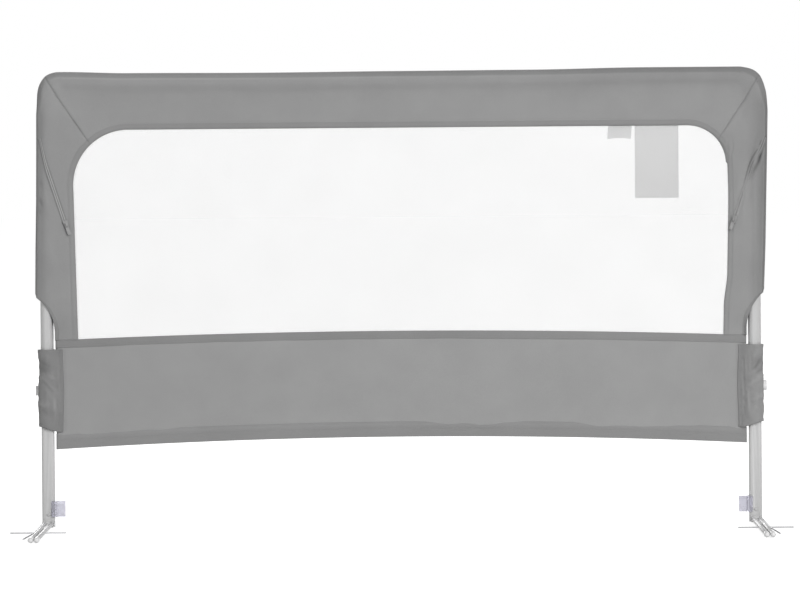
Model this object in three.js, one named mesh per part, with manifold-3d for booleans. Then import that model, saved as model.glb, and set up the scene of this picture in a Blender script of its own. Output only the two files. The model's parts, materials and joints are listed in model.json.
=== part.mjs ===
// Folding bed guard rail: a fabric-covered tube frame on two hinged legs, held by arms under the mattress.
// Millimetres. +X runs along the rail, +Y points away from the mattress and +Z points up from the bed base.
// Each side is drawn once, in a group whose own +X points outwards, and the left group is its mirror image.
import * as THREE from "three";
import { mergeVertices } from "three/addons/utils/BufferGeometryUtils.js";
import Module from "manifold-3d";

const wasm = await Module();
wasm.setup();

// Clearance between pieces that touch, and how far a cutting shape runs past what it cuts
const fitGap = 0.3;
const overrun = 2;

// Frame tubes
const uprightSpacing = 988;
const topTubeHeight = 622;
const tubeDiameter = 18;
const tubeWall = 1.2;
const bendRadius = 30;
const middleTubeLength = 500;
const joinerLength = 80;
const joinerWall = 1.2;
const joinerScrewInset = 20;
const screwHeadRadius = 3;
const screwHeadHeight = 1.6;
const screwShankRadius = 1.5;
const screwTipLength = 1.5;

// Lower legs, flattened tubes in the plane of the frame
const legWidth = 18;
const legDepth = 12;
const legCornerRadius = 4;
const legWall = 1.2;

// Fold hinge: fork on the upright, base on the leg, pivot pin between them
const pivotHeight = 190;
const pivotSetback = 13;
const barrelRadius = 11;
const socketWall = 1.2;
const knuckleWidth = 11.2;
const knuckleWeb = 2;
const forkClearance = 1;
const forkFloor = 2;
const forkSocketLength = 36;
const baseClearance = 3;
const baseDeck = 2;
const baseSocketLength = 30;
const lipThickness = 1.4;
const pivotPinRadius = 3;
const pivotPinHeadRadius = 5.5;
const pivotPinHeadHeight = 1.2;
const forkRivetRadius = 2;
const forkRivetInset = 16;
const baseRivetInset = 21;

// Release button and its spring
const knobRadius = 7;
const knobProtrusion = 6.8;
const gearRadius = 9;
const gearLength = 5.9;
const knobFaceWall = 3;
const pressTravel = 4;
const springWireRadius = 0.35;
const springCoilRadius = 5.5;
const springTurns = 4;

// Domed rivets of the legs
const rivetShankRadius = 1.6;
const rivetHeadRadius = 2.8;
const rivetHeadHeight = 1;

// Foot bracket under each leg
const bracketHeight = 7;
const plugLength = 18;
const tongueWidth = 7.4;
const footPivotForward = 17;
const footRivetRise = 10;
const footPinRadius = 1.5;
const footPinHeadRadius = 2.6;
const footPinHeadHeight = 0.9;

// Arm under the mattress
const armReach = 350;
const armWidth = 14.2;
const rodRadius = 3;
const eyeRadius = 4.5;
const eyeThickness = 3.1;
const rodSetback = 4;
const webLength = 105;
const webThickness = 1.5;
const wireRadius = 1.1;
const crossWireSetback = 180;
const wireInnerReach = 35;
const wireOuterReach = 41;
const sideWireReach = 130;
const sideWireFlare = 6.5;
const capRadius = 3.8;
const capLength = 24;
const capTipLength = 5;

// Foot lock that slides on the leg
const lockBottom = 14;
const lockHeight = 22;
const lockWall = 2;
const lockLip = 5;
const lockTabWidth = 12;
const lockTabThickness = 3;
const lockRimHeight = 3;
const lockRimThickness = 4.4;

// Fabric cover round the frame, out from the uprights' middles, and the window it leaves inside them
const coverSideReach = 16;
const coverCornerRadius = 36;
const coverWall = 1.5;
const coverSlack = 0.6;
const windowEdgeThickness = 3;
const windowDrop = 67;
const windowCornerRadius = 64;
const windowSideInset = 38.5;
const windowTaper = 5;
const seamWidth = 8;

// Lower fabric panel, split along the fold line: its ends reach these distances above and below the pivots
const panelEndInset = 12;
const panelThickness = 2;
const panelUpperReach = 70.5;
const panelTopRise = 8.5;
const panelLowerReach = 79.5;
const panelBottomRise = 13;

// Lower ends of the cover, measured up from the panel's top corners: full round, flat, cut off and hemmed
const coverFullRise = 30;
const coverFlatRise = 6;
const coverTuck = 12;
const flatHalfDepth = 1.9;
const flatHalfCavity = 0.5;
const hemOuterRise = 61;
const hemInnerRise = 11.5;
const hemBendRise = 45.5;
const hemBendInset = 26;

// Netting
const meshThickness = 0.6;

// Sleeves that wrap the hinges and are sewn to the panel
const sleeveWall = 0.8;
const sleeveTail = 24;
const sleeveTailThickness = 2.4;
const sleeveSeam = 5;
const sleeveUpperReach = 55;
const sleeveLowerReach = 52;
const sleeveBottomDrop = 6;
const sleeveSlotMargin = 2;
const sleeveSlotFront = 2;
const sleeveSlotInner = 13;

// Diagonal zips on the side bands, hung from the top tube
const zipTopDrop = 86;
const zipHeight = 118;
const zipTopOffset = 9;
const zipBottomOffset = 29;
const zipWidth = 8;
const zipThickness = 1;
const sliderLength = 10;
const sliderWidth = 7;
const sliderHeight = 2;
const sliderTaper = 2.4;
const bridgeHeight = 2.6;
const bridgeThickness = 1;
const bridgeLength = 5;
const bridgeWidth = 2.4;
const pullLength = 14;
const pullWidth = 5;
const pullThickness = 1;
const pullEyeLength = 3.4;

// Woven tabs that hang behind the netting, in from the window's side
const tabThickness = 0.5;
const largeTabInset = 96.5;
const largeTabWidth = 61;
const largeTabLength = 102;
const smallTabInset = 147;
const smallTabWidth = 33;
const smallTabLength = 18;
const smallTabCurve = 5;

// Faceting
const tubeSides = 28;
const bendSteps = 8;
const rodSides = 12;
const roundSides = 28;
const arcSteps = 12;
const cornerSteps = 4;
const sectionSteps = 5;
const edgeSteps = 8;
const wireSides = 6;
const wireSteps = 8;
const tabSteps = 6;

// Derived frame values
const halfSpacing = uprightSpacing / 2;
const coverHalfWidth = halfSpacing + coverSideReach;
const windowHalfWidth = halfSpacing - windowSideInset;
const panelHalfWidth = halfSpacing - panelEndInset;
const tubeRadius = tubeDiameter / 2;
const bendOffset = halfSpacing - bendRadius;
const bendHeight = topTubeHeight - bendRadius;
const jointOffset = middleTubeLength / 2;

// Derived hinge values, in the side group
const hingeHalfWidth = legWidth / 2 + fitGap + socketWall;
const hingeHalfDepth = legDepth / 2 + fitGap + socketWall;
const hingeCornerRadius = legCornerRadius + fitGap + socketWall;
const knuckleHalf = knuckleWidth / 2;
const earInner = knuckleHalf + fitGap;
const gearBore = gearRadius + fitGap;
const forkBottom = pivotHeight + barrelRadius + forkClearance;
const forkTop = forkBottom + forkSocketLength;
const tubeFoot = forkBottom + forkFloor + fitGap;
const baseTop = pivotHeight - barrelRadius - baseClearance;
const baseBottom = baseTop - baseSocketLength;
const legTop = baseTop - baseDeck - fitGap;
const lipInner = hingeHalfWidth - lipThickness;
const gearFront = lipInner - fitGap;
const gearBack = gearFront - gearLength;
const knobFace = hingeHalfWidth + knobProtrusion;
const webFront = knuckleWeb - knuckleHalf;
const boreEnd = knobFace - knobFaceWall;
const pinEnd = boreEnd - pressTravel - fitGap;

// Derived foot values
const footPivotHeight = eyeRadius;
const legFoot = bracketHeight + fitGap;
const rodOffset = armWidth / 2 - rodRadius;
const eyeInner = tongueWidth / 2 + fitGap;
const eyeOuter = eyeInner + eyeThickness;
const rodStart = footPivotForward + eyeRadius + rodSetback;
const rodEnd = armReach - capTipLength - fitGap;

// Derived cover, panel and sleeve values
const coverHalfDepth = tubeRadius + coverSlack + coverWall;
const coverTop = topTubeHeight + coverHalfDepth;
const windowTop = topTubeHeight - windowDrop;
const windowEdgeHalf = windowEdgeThickness / 2;
const panelTopHeight = pivotHeight + panelUpperReach;
const panelBottomHeight = pivotHeight - panelLowerReach;
const coverFoot = panelTopHeight - coverTuck;
const coverFlatHeight = panelTopHeight + coverFlatRise;
const coverFullHeight = panelTopHeight + coverFullRise;
const sleeveTopHeight = pivotHeight + sleeveUpperReach;
const sleeveBottomHeight = pivotHeight - sleeveLowerReach;

// Materials
const paint = (color, roughness, metalness) =>
  new THREE.MeshStandardMaterial({ color, roughness, metalness });
const tubePaint = () => paint(0xc4c4c4, 0.45, 0.3);
const greyPlastic = () => paint(0xb2b2b4, 0.5, 0);
const steel = () => paint(0xa9a9ab, 0.35, 0.9);
const greyFabric = () => paint(0x959595, 0.9, 0);
const sleeveFabric = () => paint(0x868686, 0.9, 0);
const netting = () => paint(0xf4f4f4, 0.9, 0);
const lilacPlastic = () => paint(0xbdbacb, 0.3, 0);
const zipNylon = () => paint(0x7c7c7c, 0.6, 0);
const wovenTape = () => paint(0xd6d6d6, 0.9, 0);
const greyVinyl = () => paint(0xd2d2d2, 0.6, 0);

// Solids: a closed mesh becomes one that can be cut and joined, and back
function asSolid(shape) {
  if (!shape.isBufferGeometry) {
    return shape;
  }
  const bare = shape.clone();
  bare.deleteAttribute("normal");
  bare.deleteAttribute("uv");
  const merged = mergeVertices(bare);
  return new wasm.Manifold(
    new wasm.Mesh({
      numProp: 3,
      vertProperties: new Float32Array(merged.getAttribute("position").array),
      triVerts: new Uint32Array(merged.index.array),
    })
  );
}

const join = (...shapes) => shapes.map(asSolid).reduce((whole, shape) => whole.add(shape));
const cut = (body, ...tools) =>
  tools.map(asSolid).reduce((rest, tool) => rest.subtract(tool), asSolid(body));
const common = (...shapes) => shapes.map(asSolid).reduce((whole, shape) => whole.intersect(shape));

function asGeometry(shape) {
  if (shape.isBufferGeometry) {
    return shape;
  }
  const mesh = shape.getMesh();
  const corners = new Float32Array(mesh.numVert * 3);
  for (let i = 0; i < mesh.numVert; i += 1) {
    corners.set(mesh.vertProperties.subarray(i * mesh.numProp, i * mesh.numProp + 3), i * 3);
  }
  const geometry = new THREE.BufferGeometry();
  geometry.setAttribute("position", new THREE.BufferAttribute(corners, 3));
  geometry.setIndex(new THREE.BufferAttribute(new Uint32Array(mesh.triVerts), 1));
  geometry.computeVertexNormals();
  return geometry;
}

function piece(parent, name, shape, material) {
  const mesh = new THREE.Mesh(asGeometry(shape), material);
  mesh.name = name;
  parent.add(mesh);
  return mesh;
}

// Box between two corners
function block(low, high) {
  const size = new THREE.Vector3().subVectors(high, low);
  const middle = new THREE.Vector3().addVectors(high, low).divideScalar(2);
  return new THREE.BoxGeometry(size.x, size.y, size.z).translate(middle.x, middle.y, middle.z);
}

// Round bars along each axis, centred on the two other coordinates
function barX(radius, from, to, y, z, sides = roundSides) {
  const bar = new THREE.CylinderGeometry(radius, radius, to - from, sides).rotateZ(-Math.PI / 2);
  return bar.translate((from + to) / 2, y, z);
}

function barY(radius, from, to, x, z, sides = roundSides) {
  const bar = new THREE.CylinderGeometry(radius, radius, to - from, sides);
  return bar.translate(x, (from + to) / 2, z);
}

function barZ(radius, from, to, x, y, sides = roundSides) {
  const bar = new THREE.CylinderGeometry(radius, radius, to - from, sides).rotateX(Math.PI / 2);
  return bar.translate(x, y, (from + to) / 2);
}

// Outlines drawn in the two other coordinates and extruded along one axis
function extrude(shape, depth, steps) {
  return new THREE.ExtrudeGeometry(shape, { depth, bevelEnabled: false, curveSegments: steps });
}

function prismX(shape, from, to) {
  const turn = new THREE.Matrix4().set(0, 0, 1, from, 1, 0, 0, 0, 0, 1, 0, 0, 0, 0, 0, 1);
  return extrude(shape, to - from, arcSteps).applyMatrix4(turn);
}

function prismY(shape, from, to) {
  return extrude(shape, to - from, arcSteps).rotateX(Math.PI / 2).translate(0, to, 0);
}

function prismZ(shape, from, to, steps = cornerSteps) {
  return extrude(shape, to - from, steps).translate(0, 0, from);
}

function polygon(...corners) {
  return new THREE.Shape(corners.map(([u, v]) => new THREE.Vector2(u, v)));
}

function roundedRectangle(halfWidth, halfDepth, radius) {
  const shape = new THREE.Shape();
  shape.absarc(halfWidth - radius, halfDepth - radius, radius, 0, Math.PI / 2);
  shape.absarc(radius - halfWidth, halfDepth - radius, radius, Math.PI / 2, Math.PI);
  shape.absarc(radius - halfWidth, radius - halfDepth, radius, Math.PI, (Math.PI * 3) / 2);
  shape.absarc(halfWidth - radius, radius - halfDepth, radius, (Math.PI * 3) / 2, Math.PI * 2);
  return shape;
}

// Turned piece along +Z from a list of radius and height pairs
function turned(profile, sides = roundSides) {
  const points = profile.map(([radius, height]) => new THREE.Vector2(radius, height));
  return new THREE.LatheGeometry(points, sides).rotateX(Math.PI / 2);
}

function signedVolume(points, index) {
  let sum = 0;
  const normal = new THREE.Vector3();
  for (let i = 0; i < index.length; i += 3) {
    normal.crossVectors(points[index[i + 1]], points[index[i + 2]]);
    sum += points[index[i]].dot(normal);
  }
  return sum;
}

// Closed skin through a row of rings that have equally many points
function loft(rings) {
  const count = rings[0].length;
  const points = rings.flat();
  const index = [];
  for (let r = 0; r + 1 < rings.length; r += 1) {
    for (let k = 0; k < count; k += 1) {
      const a = r * count + k;
      const b = r * count + ((k + 1) % count);
      index.push(a, b, a + count, b, b + count, a + count);
    }
  }
  const lastRing = (rings.length - 1) * count;
  for (const start of [0, lastRing]) {
    const middle = new THREE.Vector3();
    for (let k = 0; k < count; k += 1) {
      middle.add(points[start + k]);
    }
    points.push(middle.divideScalar(count));
    for (let k = 0; k < count; k += 1) {
      const a = start + k;
      const b = start + ((k + 1) % count);
      index.push(points.length - 1, ...(start === 0 ? [b, a] : [a, b]));
    }
  }
  if (signedVolume(points, index) < 0) {
    index.reverse();
  }
  return new THREE.BufferGeometry().setFromPoints(points).setIndex(index);
}

// Rings square to a route, set out from one direction that the route never follows
function ringsAlong(route, radius, sides, across) {
  return route.map((point, i) => {
    const before = route[Math.max(i - 1, 0)];
    const after = route[Math.min(i + 1, route.length - 1)];
    const along = new THREE.Vector3().subVectors(after, before).normalize();
    const sideways = new THREE.Vector3().crossVectors(along, across).normalize();
    const outwards = new THREE.Vector3().crossVectors(sideways, along);
    return Array.from({ length: sides }, (unused, k) => {
      const angle = (k / sides) * Math.PI * 2;
      return point
        .clone()
        .addScaledVector(outwards, radius * Math.cos(angle))
        .addScaledVector(sideways, radius * Math.sin(angle));
    });
  });
}

function pipe(route, outerRadius, innerRadius, sides, across) {
  const first = route[0].clone().sub(route[1]).setLength(overrun).add(route[0]);
  const last = route.at(-1).clone().sub(route.at(-2)).setLength(overrun).add(route.at(-1));
  return cut(
    loft(ringsAlong(route, outerRadius, sides, across)),
    loft(ringsAlong([first, ...route, last], innerRadius, sides, across))
  );
}

// Rivet along Y through a grip, with a domed head at each end
function domedRivet(gripHalf, x, z) {
  const headStart = gripHalf + fitGap;
  const headEnd = headStart + rivetHeadHeight;
  const rivet = turned(
    [
      [0, -headEnd],
      [rivetHeadRadius / 2, -headEnd],
      [rivetHeadRadius, -headStart],
      [rivetShankRadius, -headStart],
      [rivetShankRadius, headStart],
      [rivetHeadRadius, headStart],
      [rivetHeadRadius / 2, headEnd],
      [0, headEnd],
    ],
    rodSides
  );
  return rivet.rotateX(Math.PI / 2).translate(x, 0, z);
}

// Frame tubes, in the side group and in the middle
const frontwards = new THREE.Vector3(0, 1, 0);
const lengthwise = new THREE.Vector3(1, 0, 0);
const upwards = new THREE.Vector3(0, 0, 1);

function cornerTube() {
  const route = [new THREE.Vector3(0, 0, tubeFoot)];
  for (let i = 0; i <= bendSteps; i += 1) {
    const angle = ((i / bendSteps) * Math.PI) / 2;
    const x = bendRadius * (Math.cos(angle) - 1);
    route.push(new THREE.Vector3(x, 0, bendHeight + bendRadius * Math.sin(angle)));
  }
  route.push(new THREE.Vector3(jointOffset + fitGap / 2 - halfSpacing, 0, topTubeHeight));
  const tube = pipe(route, tubeRadius, tubeRadius - tubeWall, tubeSides, frontwards);
  const screwX = jointOffset + joinerScrewInset - halfSpacing;
  const screwHole = barZ(screwShankRadius + fitGap, bendHeight, topTubeHeight, screwX, 0, rodSides);
  const rivetHole = barY(forkRivetRadius + fitGap, -tubeDiameter, tubeDiameter, 0, forkTop - forkRivetInset);
  return cut(tube, screwHole, rivetHole);
}

function middleTube() {
  const end = jointOffset - fitGap / 2;
  const route = [new THREE.Vector3(-end, 0, topTubeHeight), new THREE.Vector3(end, 0, topTubeHeight)];
  const tube = pipe(route, tubeRadius, tubeRadius - tubeWall, tubeSides, frontwards);
  const screwX = jointOffset - joinerScrewInset;
  const screwHole = (x) => barZ(screwShankRadius + fitGap, bendHeight, topTubeHeight, x, 0, rodSides);
  return cut(tube, screwHole(screwX), screwHole(-screwX));
}

const joinerRadius = tubeRadius - tubeWall - fitGap;

function joiner() {
  const middle = jointOffset - halfSpacing;
  const route = [
    new THREE.Vector3(middle - joinerLength / 2, 0, topTubeHeight),
    new THREE.Vector3(middle + joinerLength / 2, 0, topTubeHeight),
  ];
  const tube = pipe(route, joinerRadius, joinerRadius - joinerWall, tubeSides, frontwards);
  const screwHole = (x) => barZ(screwShankRadius + fitGap, bendHeight, topTubeHeight, x, 0, rodSides);
  return cut(tube, screwHole(middle - joinerScrewInset), screwHole(middle + joinerScrewInset));
}

function joinerScrew(x) {
  const headTop = topTubeHeight - tubeRadius - fitGap;
  const tip = topTubeHeight - joinerRadius + joinerWall + screwTipLength;
  const screw = turned(
    [
      [0, headTop - screwHeadHeight],
      [screwHeadRadius / 2, headTop - screwHeadHeight],
      [screwHeadRadius, headTop - screwHeadHeight / 2],
      [screwHeadRadius, headTop],
      [screwShankRadius, headTop],
      [screwShankRadius, tip - screwShankRadius],
      [0, tip],
    ],
    rodSides
  );
  return screw.translate(x, 0, 0);
}

// Fold hinge, in the side group
function tangentPoint(from, side) {
  const centre = new THREE.Vector2(pivotSetback, pivotHeight);
  const towards = from.clone().sub(centre);
  const spread = Math.acos(barrelRadius / towards.length());
  const angle = towards.angle() + side * spread;
  return [centre.x + barrelRadius * Math.cos(angle), centre.y + barrelRadius * Math.sin(angle)];
}

function barrel(radius, from, to) {
  return barX(radius, from, to, pivotSetback, pivotHeight);
}

function lowerLeg() {
  const outer = roundedRectangle(legWidth / 2, legDepth / 2, legCornerRadius);
  const inner = roundedRectangle(legWidth / 2 - legWall, legDepth / 2 - legWall, legCornerRadius - legWall);
  const hole = (z) => barY(rivetShankRadius + fitGap, -legDepth, legDepth, 0, z, rodSides);
  return cut(
    prismZ(outer, legFoot, legTop),
    prismZ(inner, legFoot - overrun, legTop + overrun),
    hole(baseTop - baseRivetInset),
    hole(bracketHeight + footRivetRise)
  );
}

function hingeBase() {
  const rivetHeight = baseTop - baseRivetInset;
  const shell = roundedRectangle(hingeHalfWidth, hingeHalfDepth, hingeCornerRadius);
  const room = roundedRectangle(legWidth / 2 + fitGap, legDepth / 2 + fitGap, legCornerRadius + fitGap);
  const front = new THREE.Vector2(hingeCornerRadius - hingeHalfDepth, baseTop - baseDeck);
  const earOutline = polygon(
    [front.x, front.y],
    [hingeHalfDepth, baseTop - baseDeck],
    [pivotSetback - fitGap, pivotHeight - barrelRadius],
    [pivotSetback - fitGap, pivotHeight],
    tangentPoint(front, -1)
  );
  const ear = (from, to) => join(prismX(earOutline, from, to), barrel(barrelRadius, from, to));
  const body = join(
    prismZ(shell, baseBottom, baseTop),
    ear(-hingeHalfWidth, -earInner),
    ear(earInner, hingeHalfWidth)
  );
  return cut(
    body,
    prismZ(room, baseBottom - overrun, baseTop - baseDeck),
    barrel(pivotPinRadius + fitGap, -hingeHalfWidth - overrun, 0),
    barrel(gearBore, 0, lipInner),
    barrel(knobRadius + fitGap, 0, hingeHalfWidth + overrun),
    barY(rivetShankRadius + fitGap, -2 * hingeHalfDepth, 2 * hingeHalfDepth, 0, rivetHeight, rodSides)
  );
}

function hingeFork() {
  const socketRadius = tubeRadius + fitGap + socketWall;
  const front = new THREE.Vector2(-tubeRadius, forkBottom + forkFloor / 2);
  const webOutline = polygon(
    [front.x, front.y],
    tangentPoint(front, 1),
    [pivotSetback, pivotHeight],
    [pivotSetback - fitGap, forkBottom],
    [socketRadius / 2, forkBottom + forkFloor / 2]
  );
  const body = join(
    barZ(socketRadius, forkBottom, forkTop, 0, 0),
    prismX(webOutline, -knuckleHalf, knuckleHalf),
    barrel(barrelRadius, -knuckleHalf, knuckleHalf)
  );
  return cut(
    body,
    barZ(tubeRadius + fitGap, forkBottom + forkFloor, forkTop + overrun, 0, 0),
    barrel(pivotPinRadius + fitGap, -hingeHalfWidth, 0),
    barrel(gearBore, webFront, hingeHalfWidth),
    barY(forkRivetRadius + fitGap, -2 * socketRadius, 2 * socketRadius, 0, forkTop - forkRivetInset)
  );
}

function forkRivet() {
  const reach = tubeRadius + socketWall + fitGap / 2;
  return barY(forkRivetRadius, -reach, reach, 0, forkTop - forkRivetInset, rodSides);
}

function pivotPin() {
  const headEnd = -hingeHalfWidth - fitGap;
  const pin = turned([
    [0, headEnd - pivotPinHeadHeight],
    [pivotPinHeadRadius, headEnd - pivotPinHeadHeight],
    [pivotPinHeadRadius, headEnd],
    [pivotPinRadius, headEnd],
    [pivotPinRadius, pinEnd],
    [0, pinEnd],
  ]);
  return pin.rotateY(Math.PI / 2).translate(0, pivotSetback, pivotHeight);
}

function releaseButton() {
  return cut(
    join(
      barrel(gearRadius, gearBack, gearFront),
      barrel(knobRadius, gearFront - overrun, knobFace)
    ),
    barrel(pivotPinRadius + fitGap, gearBack - overrun, boreEnd)
  );
}

function releaseSpring() {
  const seat = webFront + fitGap + springWireRadius;
  const head = gearBack - fitGap - springWireRadius;
  const steps = springTurns * wireSteps;
  const route = Array.from({ length: steps + 1 }, (unused, i) => {
    const angle = (i / wireSteps) * Math.PI * 2;
    return new THREE.Vector3(
      seat + ((head - seat) * i) / steps,
      pivotSetback + springCoilRadius * Math.cos(angle),
      pivotHeight + springCoilRadius * Math.sin(angle)
    );
  });
  return loft(ringsAlong(route, springWireRadius, wireSides, lengthwise));
}

// Foot, in the side group
function footBracket() {
  const outer = roundedRectangle(legWidth / 2, legDepth / 2, legCornerRadius);
  const inset = legWall + fitGap;
  const plug = roundedRectangle(legWidth / 2 - inset, legDepth / 2 - inset, legCornerRadius - legWall);
  const tongue = polygon(
    [-footPivotForward, 0],
    [0, 0],
    [0, bracketHeight],
    [-legDepth / 2, bracketHeight],
    [-footPivotForward, footPivotHeight + eyeRadius]
  );
  const body = join(
    prismZ(outer, 0, bracketHeight),
    prismZ(plug, 0, bracketHeight + plugLength),
    prismX(tongue, -tongueWidth / 2, tongueWidth / 2),
    barX(eyeRadius, -tongueWidth / 2, tongueWidth / 2, -footPivotForward, footPivotHeight)
  );
  return cut(
    body,
    barX(footPinRadius + fitGap, -tongueWidth, tongueWidth, -footPivotForward, footPivotHeight, rodSides),
    barY(rivetShankRadius + fitGap, -legDepth, legDepth, 0, bracketHeight + footRivetRise, rodSides)
  );
}

function footPin() {
  const headStart = eyeOuter + fitGap;
  const headEnd = headStart + footPinHeadHeight;
  const pin = turned(
    [
      [0, -headEnd],
      [footPinHeadRadius, -headEnd],
      [footPinHeadRadius, -headStart],
      [footPinRadius, -headStart],
      [footPinRadius, headStart],
      [footPinHeadRadius, headStart],
      [footPinHeadRadius, headEnd],
      [0, headEnd],
    ],
    rodSides
  );
  return pin.rotateY(Math.PI / 2).translate(0, -footPivotForward, footPivotHeight);
}

const wireY = -footPivotForward - crossWireSetback;

function footArm() {
  const eyeOutline = polygon(
    [-footPivotForward, footPivotHeight - eyeRadius],
    [-footPivotForward, footPivotHeight + eyeRadius],
    [-rodStart - rodRadius, footPivotHeight + rodRadius / 2],
    [-rodStart - rodRadius, footPivotHeight - rodRadius / 2]
  );
  const half = (side) => {
    const inner = side * eyeInner;
    const outer = side * eyeOuter;
    const from = Math.min(inner, outer);
    const to = Math.max(inner, outer);
    const eye = barX(eyeRadius, from, to, -footPivotForward, footPivotHeight);
    const rod = barY(rodRadius, -rodEnd, -rodStart, side * rodOffset, footPivotHeight, rodSides);
    return join(eye, prismX(eyeOutline, from, to), rod);
  };
  const web = block(
    new THREE.Vector3(-rodOffset, -rodStart - webLength, footPivotHeight - webThickness / 2),
    new THREE.Vector3(rodOffset, -rodStart, footPivotHeight + webThickness / 2)
  );
  return cut(
    join(half(1), half(-1), web),
    barX(footPinRadius + fitGap, -armWidth, armWidth, -footPivotForward, footPivotHeight, rodSides),
    barX(wireRadius + fitGap, -armWidth, armWidth, wireY, footPivotHeight, rodSides)
  );
}

// Cross wire, and the wire welded to it that runs beside the outer rod and flares out past the crossing
function crossWire() {
  const sideX = rodOffset + rodRadius + fitGap + wireRadius;
  const route = [
    new THREE.Vector3(sideX, -rodStart, footPivotHeight),
    new THREE.Vector3(sideX, wireY, footPivotHeight),
    new THREE.Vector3(sideX + sideWireFlare, wireY - sideWireReach, footPivotHeight),
  ];
  return join(
    barX(wireRadius, -wireInnerReach, wireOuterReach, wireY, footPivotHeight, rodSides),
    loft(ringsAlong(route, wireRadius, rodSides, upwards))
  );
}

function armCap(side) {
  const mouth = capLength - capTipLength;
  const shell = turned(
    [
      [0, -mouth],
      [capRadius, -mouth],
      [capRadius, capTipLength - capRadius],
      [capRadius * Math.cos(Math.PI / 4), capTipLength - capRadius * (1 - Math.sin(Math.PI / 4))],
      [0, capTipLength],
    ],
    rodSides
  );
  const bore = barZ(rodRadius + fitGap, -mouth - overrun, 0, 0, 0, rodSides);
  const cap = asGeometry(cut(shell, bore)).rotateX(Math.PI / 2);
  return cap.translate(side * rodOffset, capTipLength - armReach, footPivotHeight);
}

function footLock() {
  const innerFace = -legWidth / 2 - fitGap;
  const frontFace = -legDepth / 2 - fitGap;
  const outline = polygon(
    [innerFace - lockWall, frontFace - lockWall],
    [innerFace + lockLip, frontFace - lockWall],
    [innerFace + lockLip, frontFace],
    [innerFace, frontFace],
    [innerFace, -frontFace],
    [innerFace + lockLip, -frontFace],
    [innerFace + lockLip, lockWall - frontFace],
    [innerFace - lockWall, lockWall - frontFace]
  );
  const lockTop = lockBottom + lockHeight;
  const tabTip = innerFace - lockWall - lockTabWidth;
  const tabRoot = innerFace - lockWall / 2;
  const slab = (thickness, from, to) =>
    block(new THREE.Vector3(tabTip, -thickness / 2, from), new THREE.Vector3(tabRoot, thickness / 2, to));
  return join(
    prismZ(outline, lockBottom, lockTop),
    slab(lockTabThickness, lockBottom, lockTop),
    slab(lockRimThickness, lockBottom, lockBottom + lockRimHeight),
    slab(lockRimThickness, lockTop - lockRimHeight, lockTop)
  );
}

// Fabric cover: sections stand on lines that run from the window's edge through the tube to the outer edge
const mitreAngle = Math.PI / 4;
const tubeTopLine = new THREE.Path().moveTo(0, topTubeHeight).lineTo(bendOffset, topTubeHeight);
tubeTopLine.absarc(bendOffset, bendHeight, bendRadius, Math.PI / 2, mitreAngle, true);
const tubeSideLine = new THREE.Path().absarc(bendOffset, bendHeight, bendRadius, mitreAngle, 0, true);
tubeSideLine.lineTo(halfSpacing, coverFoot);

const windowBend = new THREE.Vector2(windowHalfWidth - windowCornerRadius, windowTop - windowCornerRadius);
const windowTopLine = new THREE.Path().moveTo(0, windowTop).lineTo(windowBend.x, windowTop);
windowTopLine.absarc(windowBend.x, windowBend.y, windowCornerRadius, Math.PI / 2, mitreAngle, true);
const windowSideLine = new THREE.Path();
windowSideLine.absarc(windowBend.x, windowBend.y, windowCornerRadius, mitreAngle, 0, true);
windowSideLine.lineTo(windowHalfWidth - windowTaper, coverFoot);

// Where a ray leaves the cover's outer outline, as a multiple of its direction
function outlineExit(start, direction) {
  const cornerX = coverHalfWidth - coverCornerRadius;
  const cornerZ = coverTop - coverCornerRadius;
  const toSide = direction.x > 0 ? (coverHalfWidth - start.x) / direction.x : Infinity;
  const toTop = direction.y > 0 ? (coverTop - start.y) / direction.y : Infinity;
  const straight = Math.min(toSide, toTop);
  const x = start.x + direction.x * straight - cornerX;
  const z = start.y + direction.y * straight - cornerZ;
  if (x <= 0 || z <= 0) {
    return straight;
  }
  const fromCorner = new THREE.Vector2(start.x - cornerX, start.y - cornerZ);
  const a = direction.lengthSq();
  const b = fromCorner.dot(direction);
  const c = fromCorner.lengthSq() - coverCornerRadius ** 2;
  return (Math.sqrt(b * b - a * c) - b) / a;
}

function coverRing(tubePoint, windowPoint, inset) {
  const tail = new THREE.Vector2().subVectors(windowPoint, tubePoint);
  const length = tail.length();
  const outwards = tail.clone().negate().normalize();
  const outerReach = outlineExit(tubePoint, outwards) - inset;
  const fullness = THREE.MathUtils.clamp(
    (tubePoint.y - coverFlatHeight) / (coverFullHeight - coverFlatHeight), 0, 1
  );
  const flat = inset > 0 ? flatHalfCavity : flatHalfDepth;
  const half = THREE.MathUtils.lerp(flat, coverHalfDepth - inset, fullness);
  const edgeHalf = inset > 0 ? flatHalfCavity : windowEdgeHalf;
  const tailReach = inset > 0 ? length - seamWidth : length;
  const slope = (half - edgeHalf) / tailReach;
  const shoulder = half * slope;
  const row = [[-tailReach, edgeHalf], [-shoulder, half * Math.sqrt(1 - slope * slope)]];
  for (let i = 0; i < sectionSteps; i += 1) {
    const angle = ((i / sectionSteps) * Math.PI) / 2;
    row.push([outerReach * Math.sin(angle), half * Math.cos(angle)]);
  }
  const place = ([reach, y]) =>
    new THREE.Vector3(tubePoint.x + outwards.x * reach, y, tubePoint.y + outwards.y * reach);
  const back = row.map(place);
  const front = row.map(([reach, y]) => place([reach, -y])).reverse();
  return [...back, place([outerReach, 0]), ...front];
}

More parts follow.
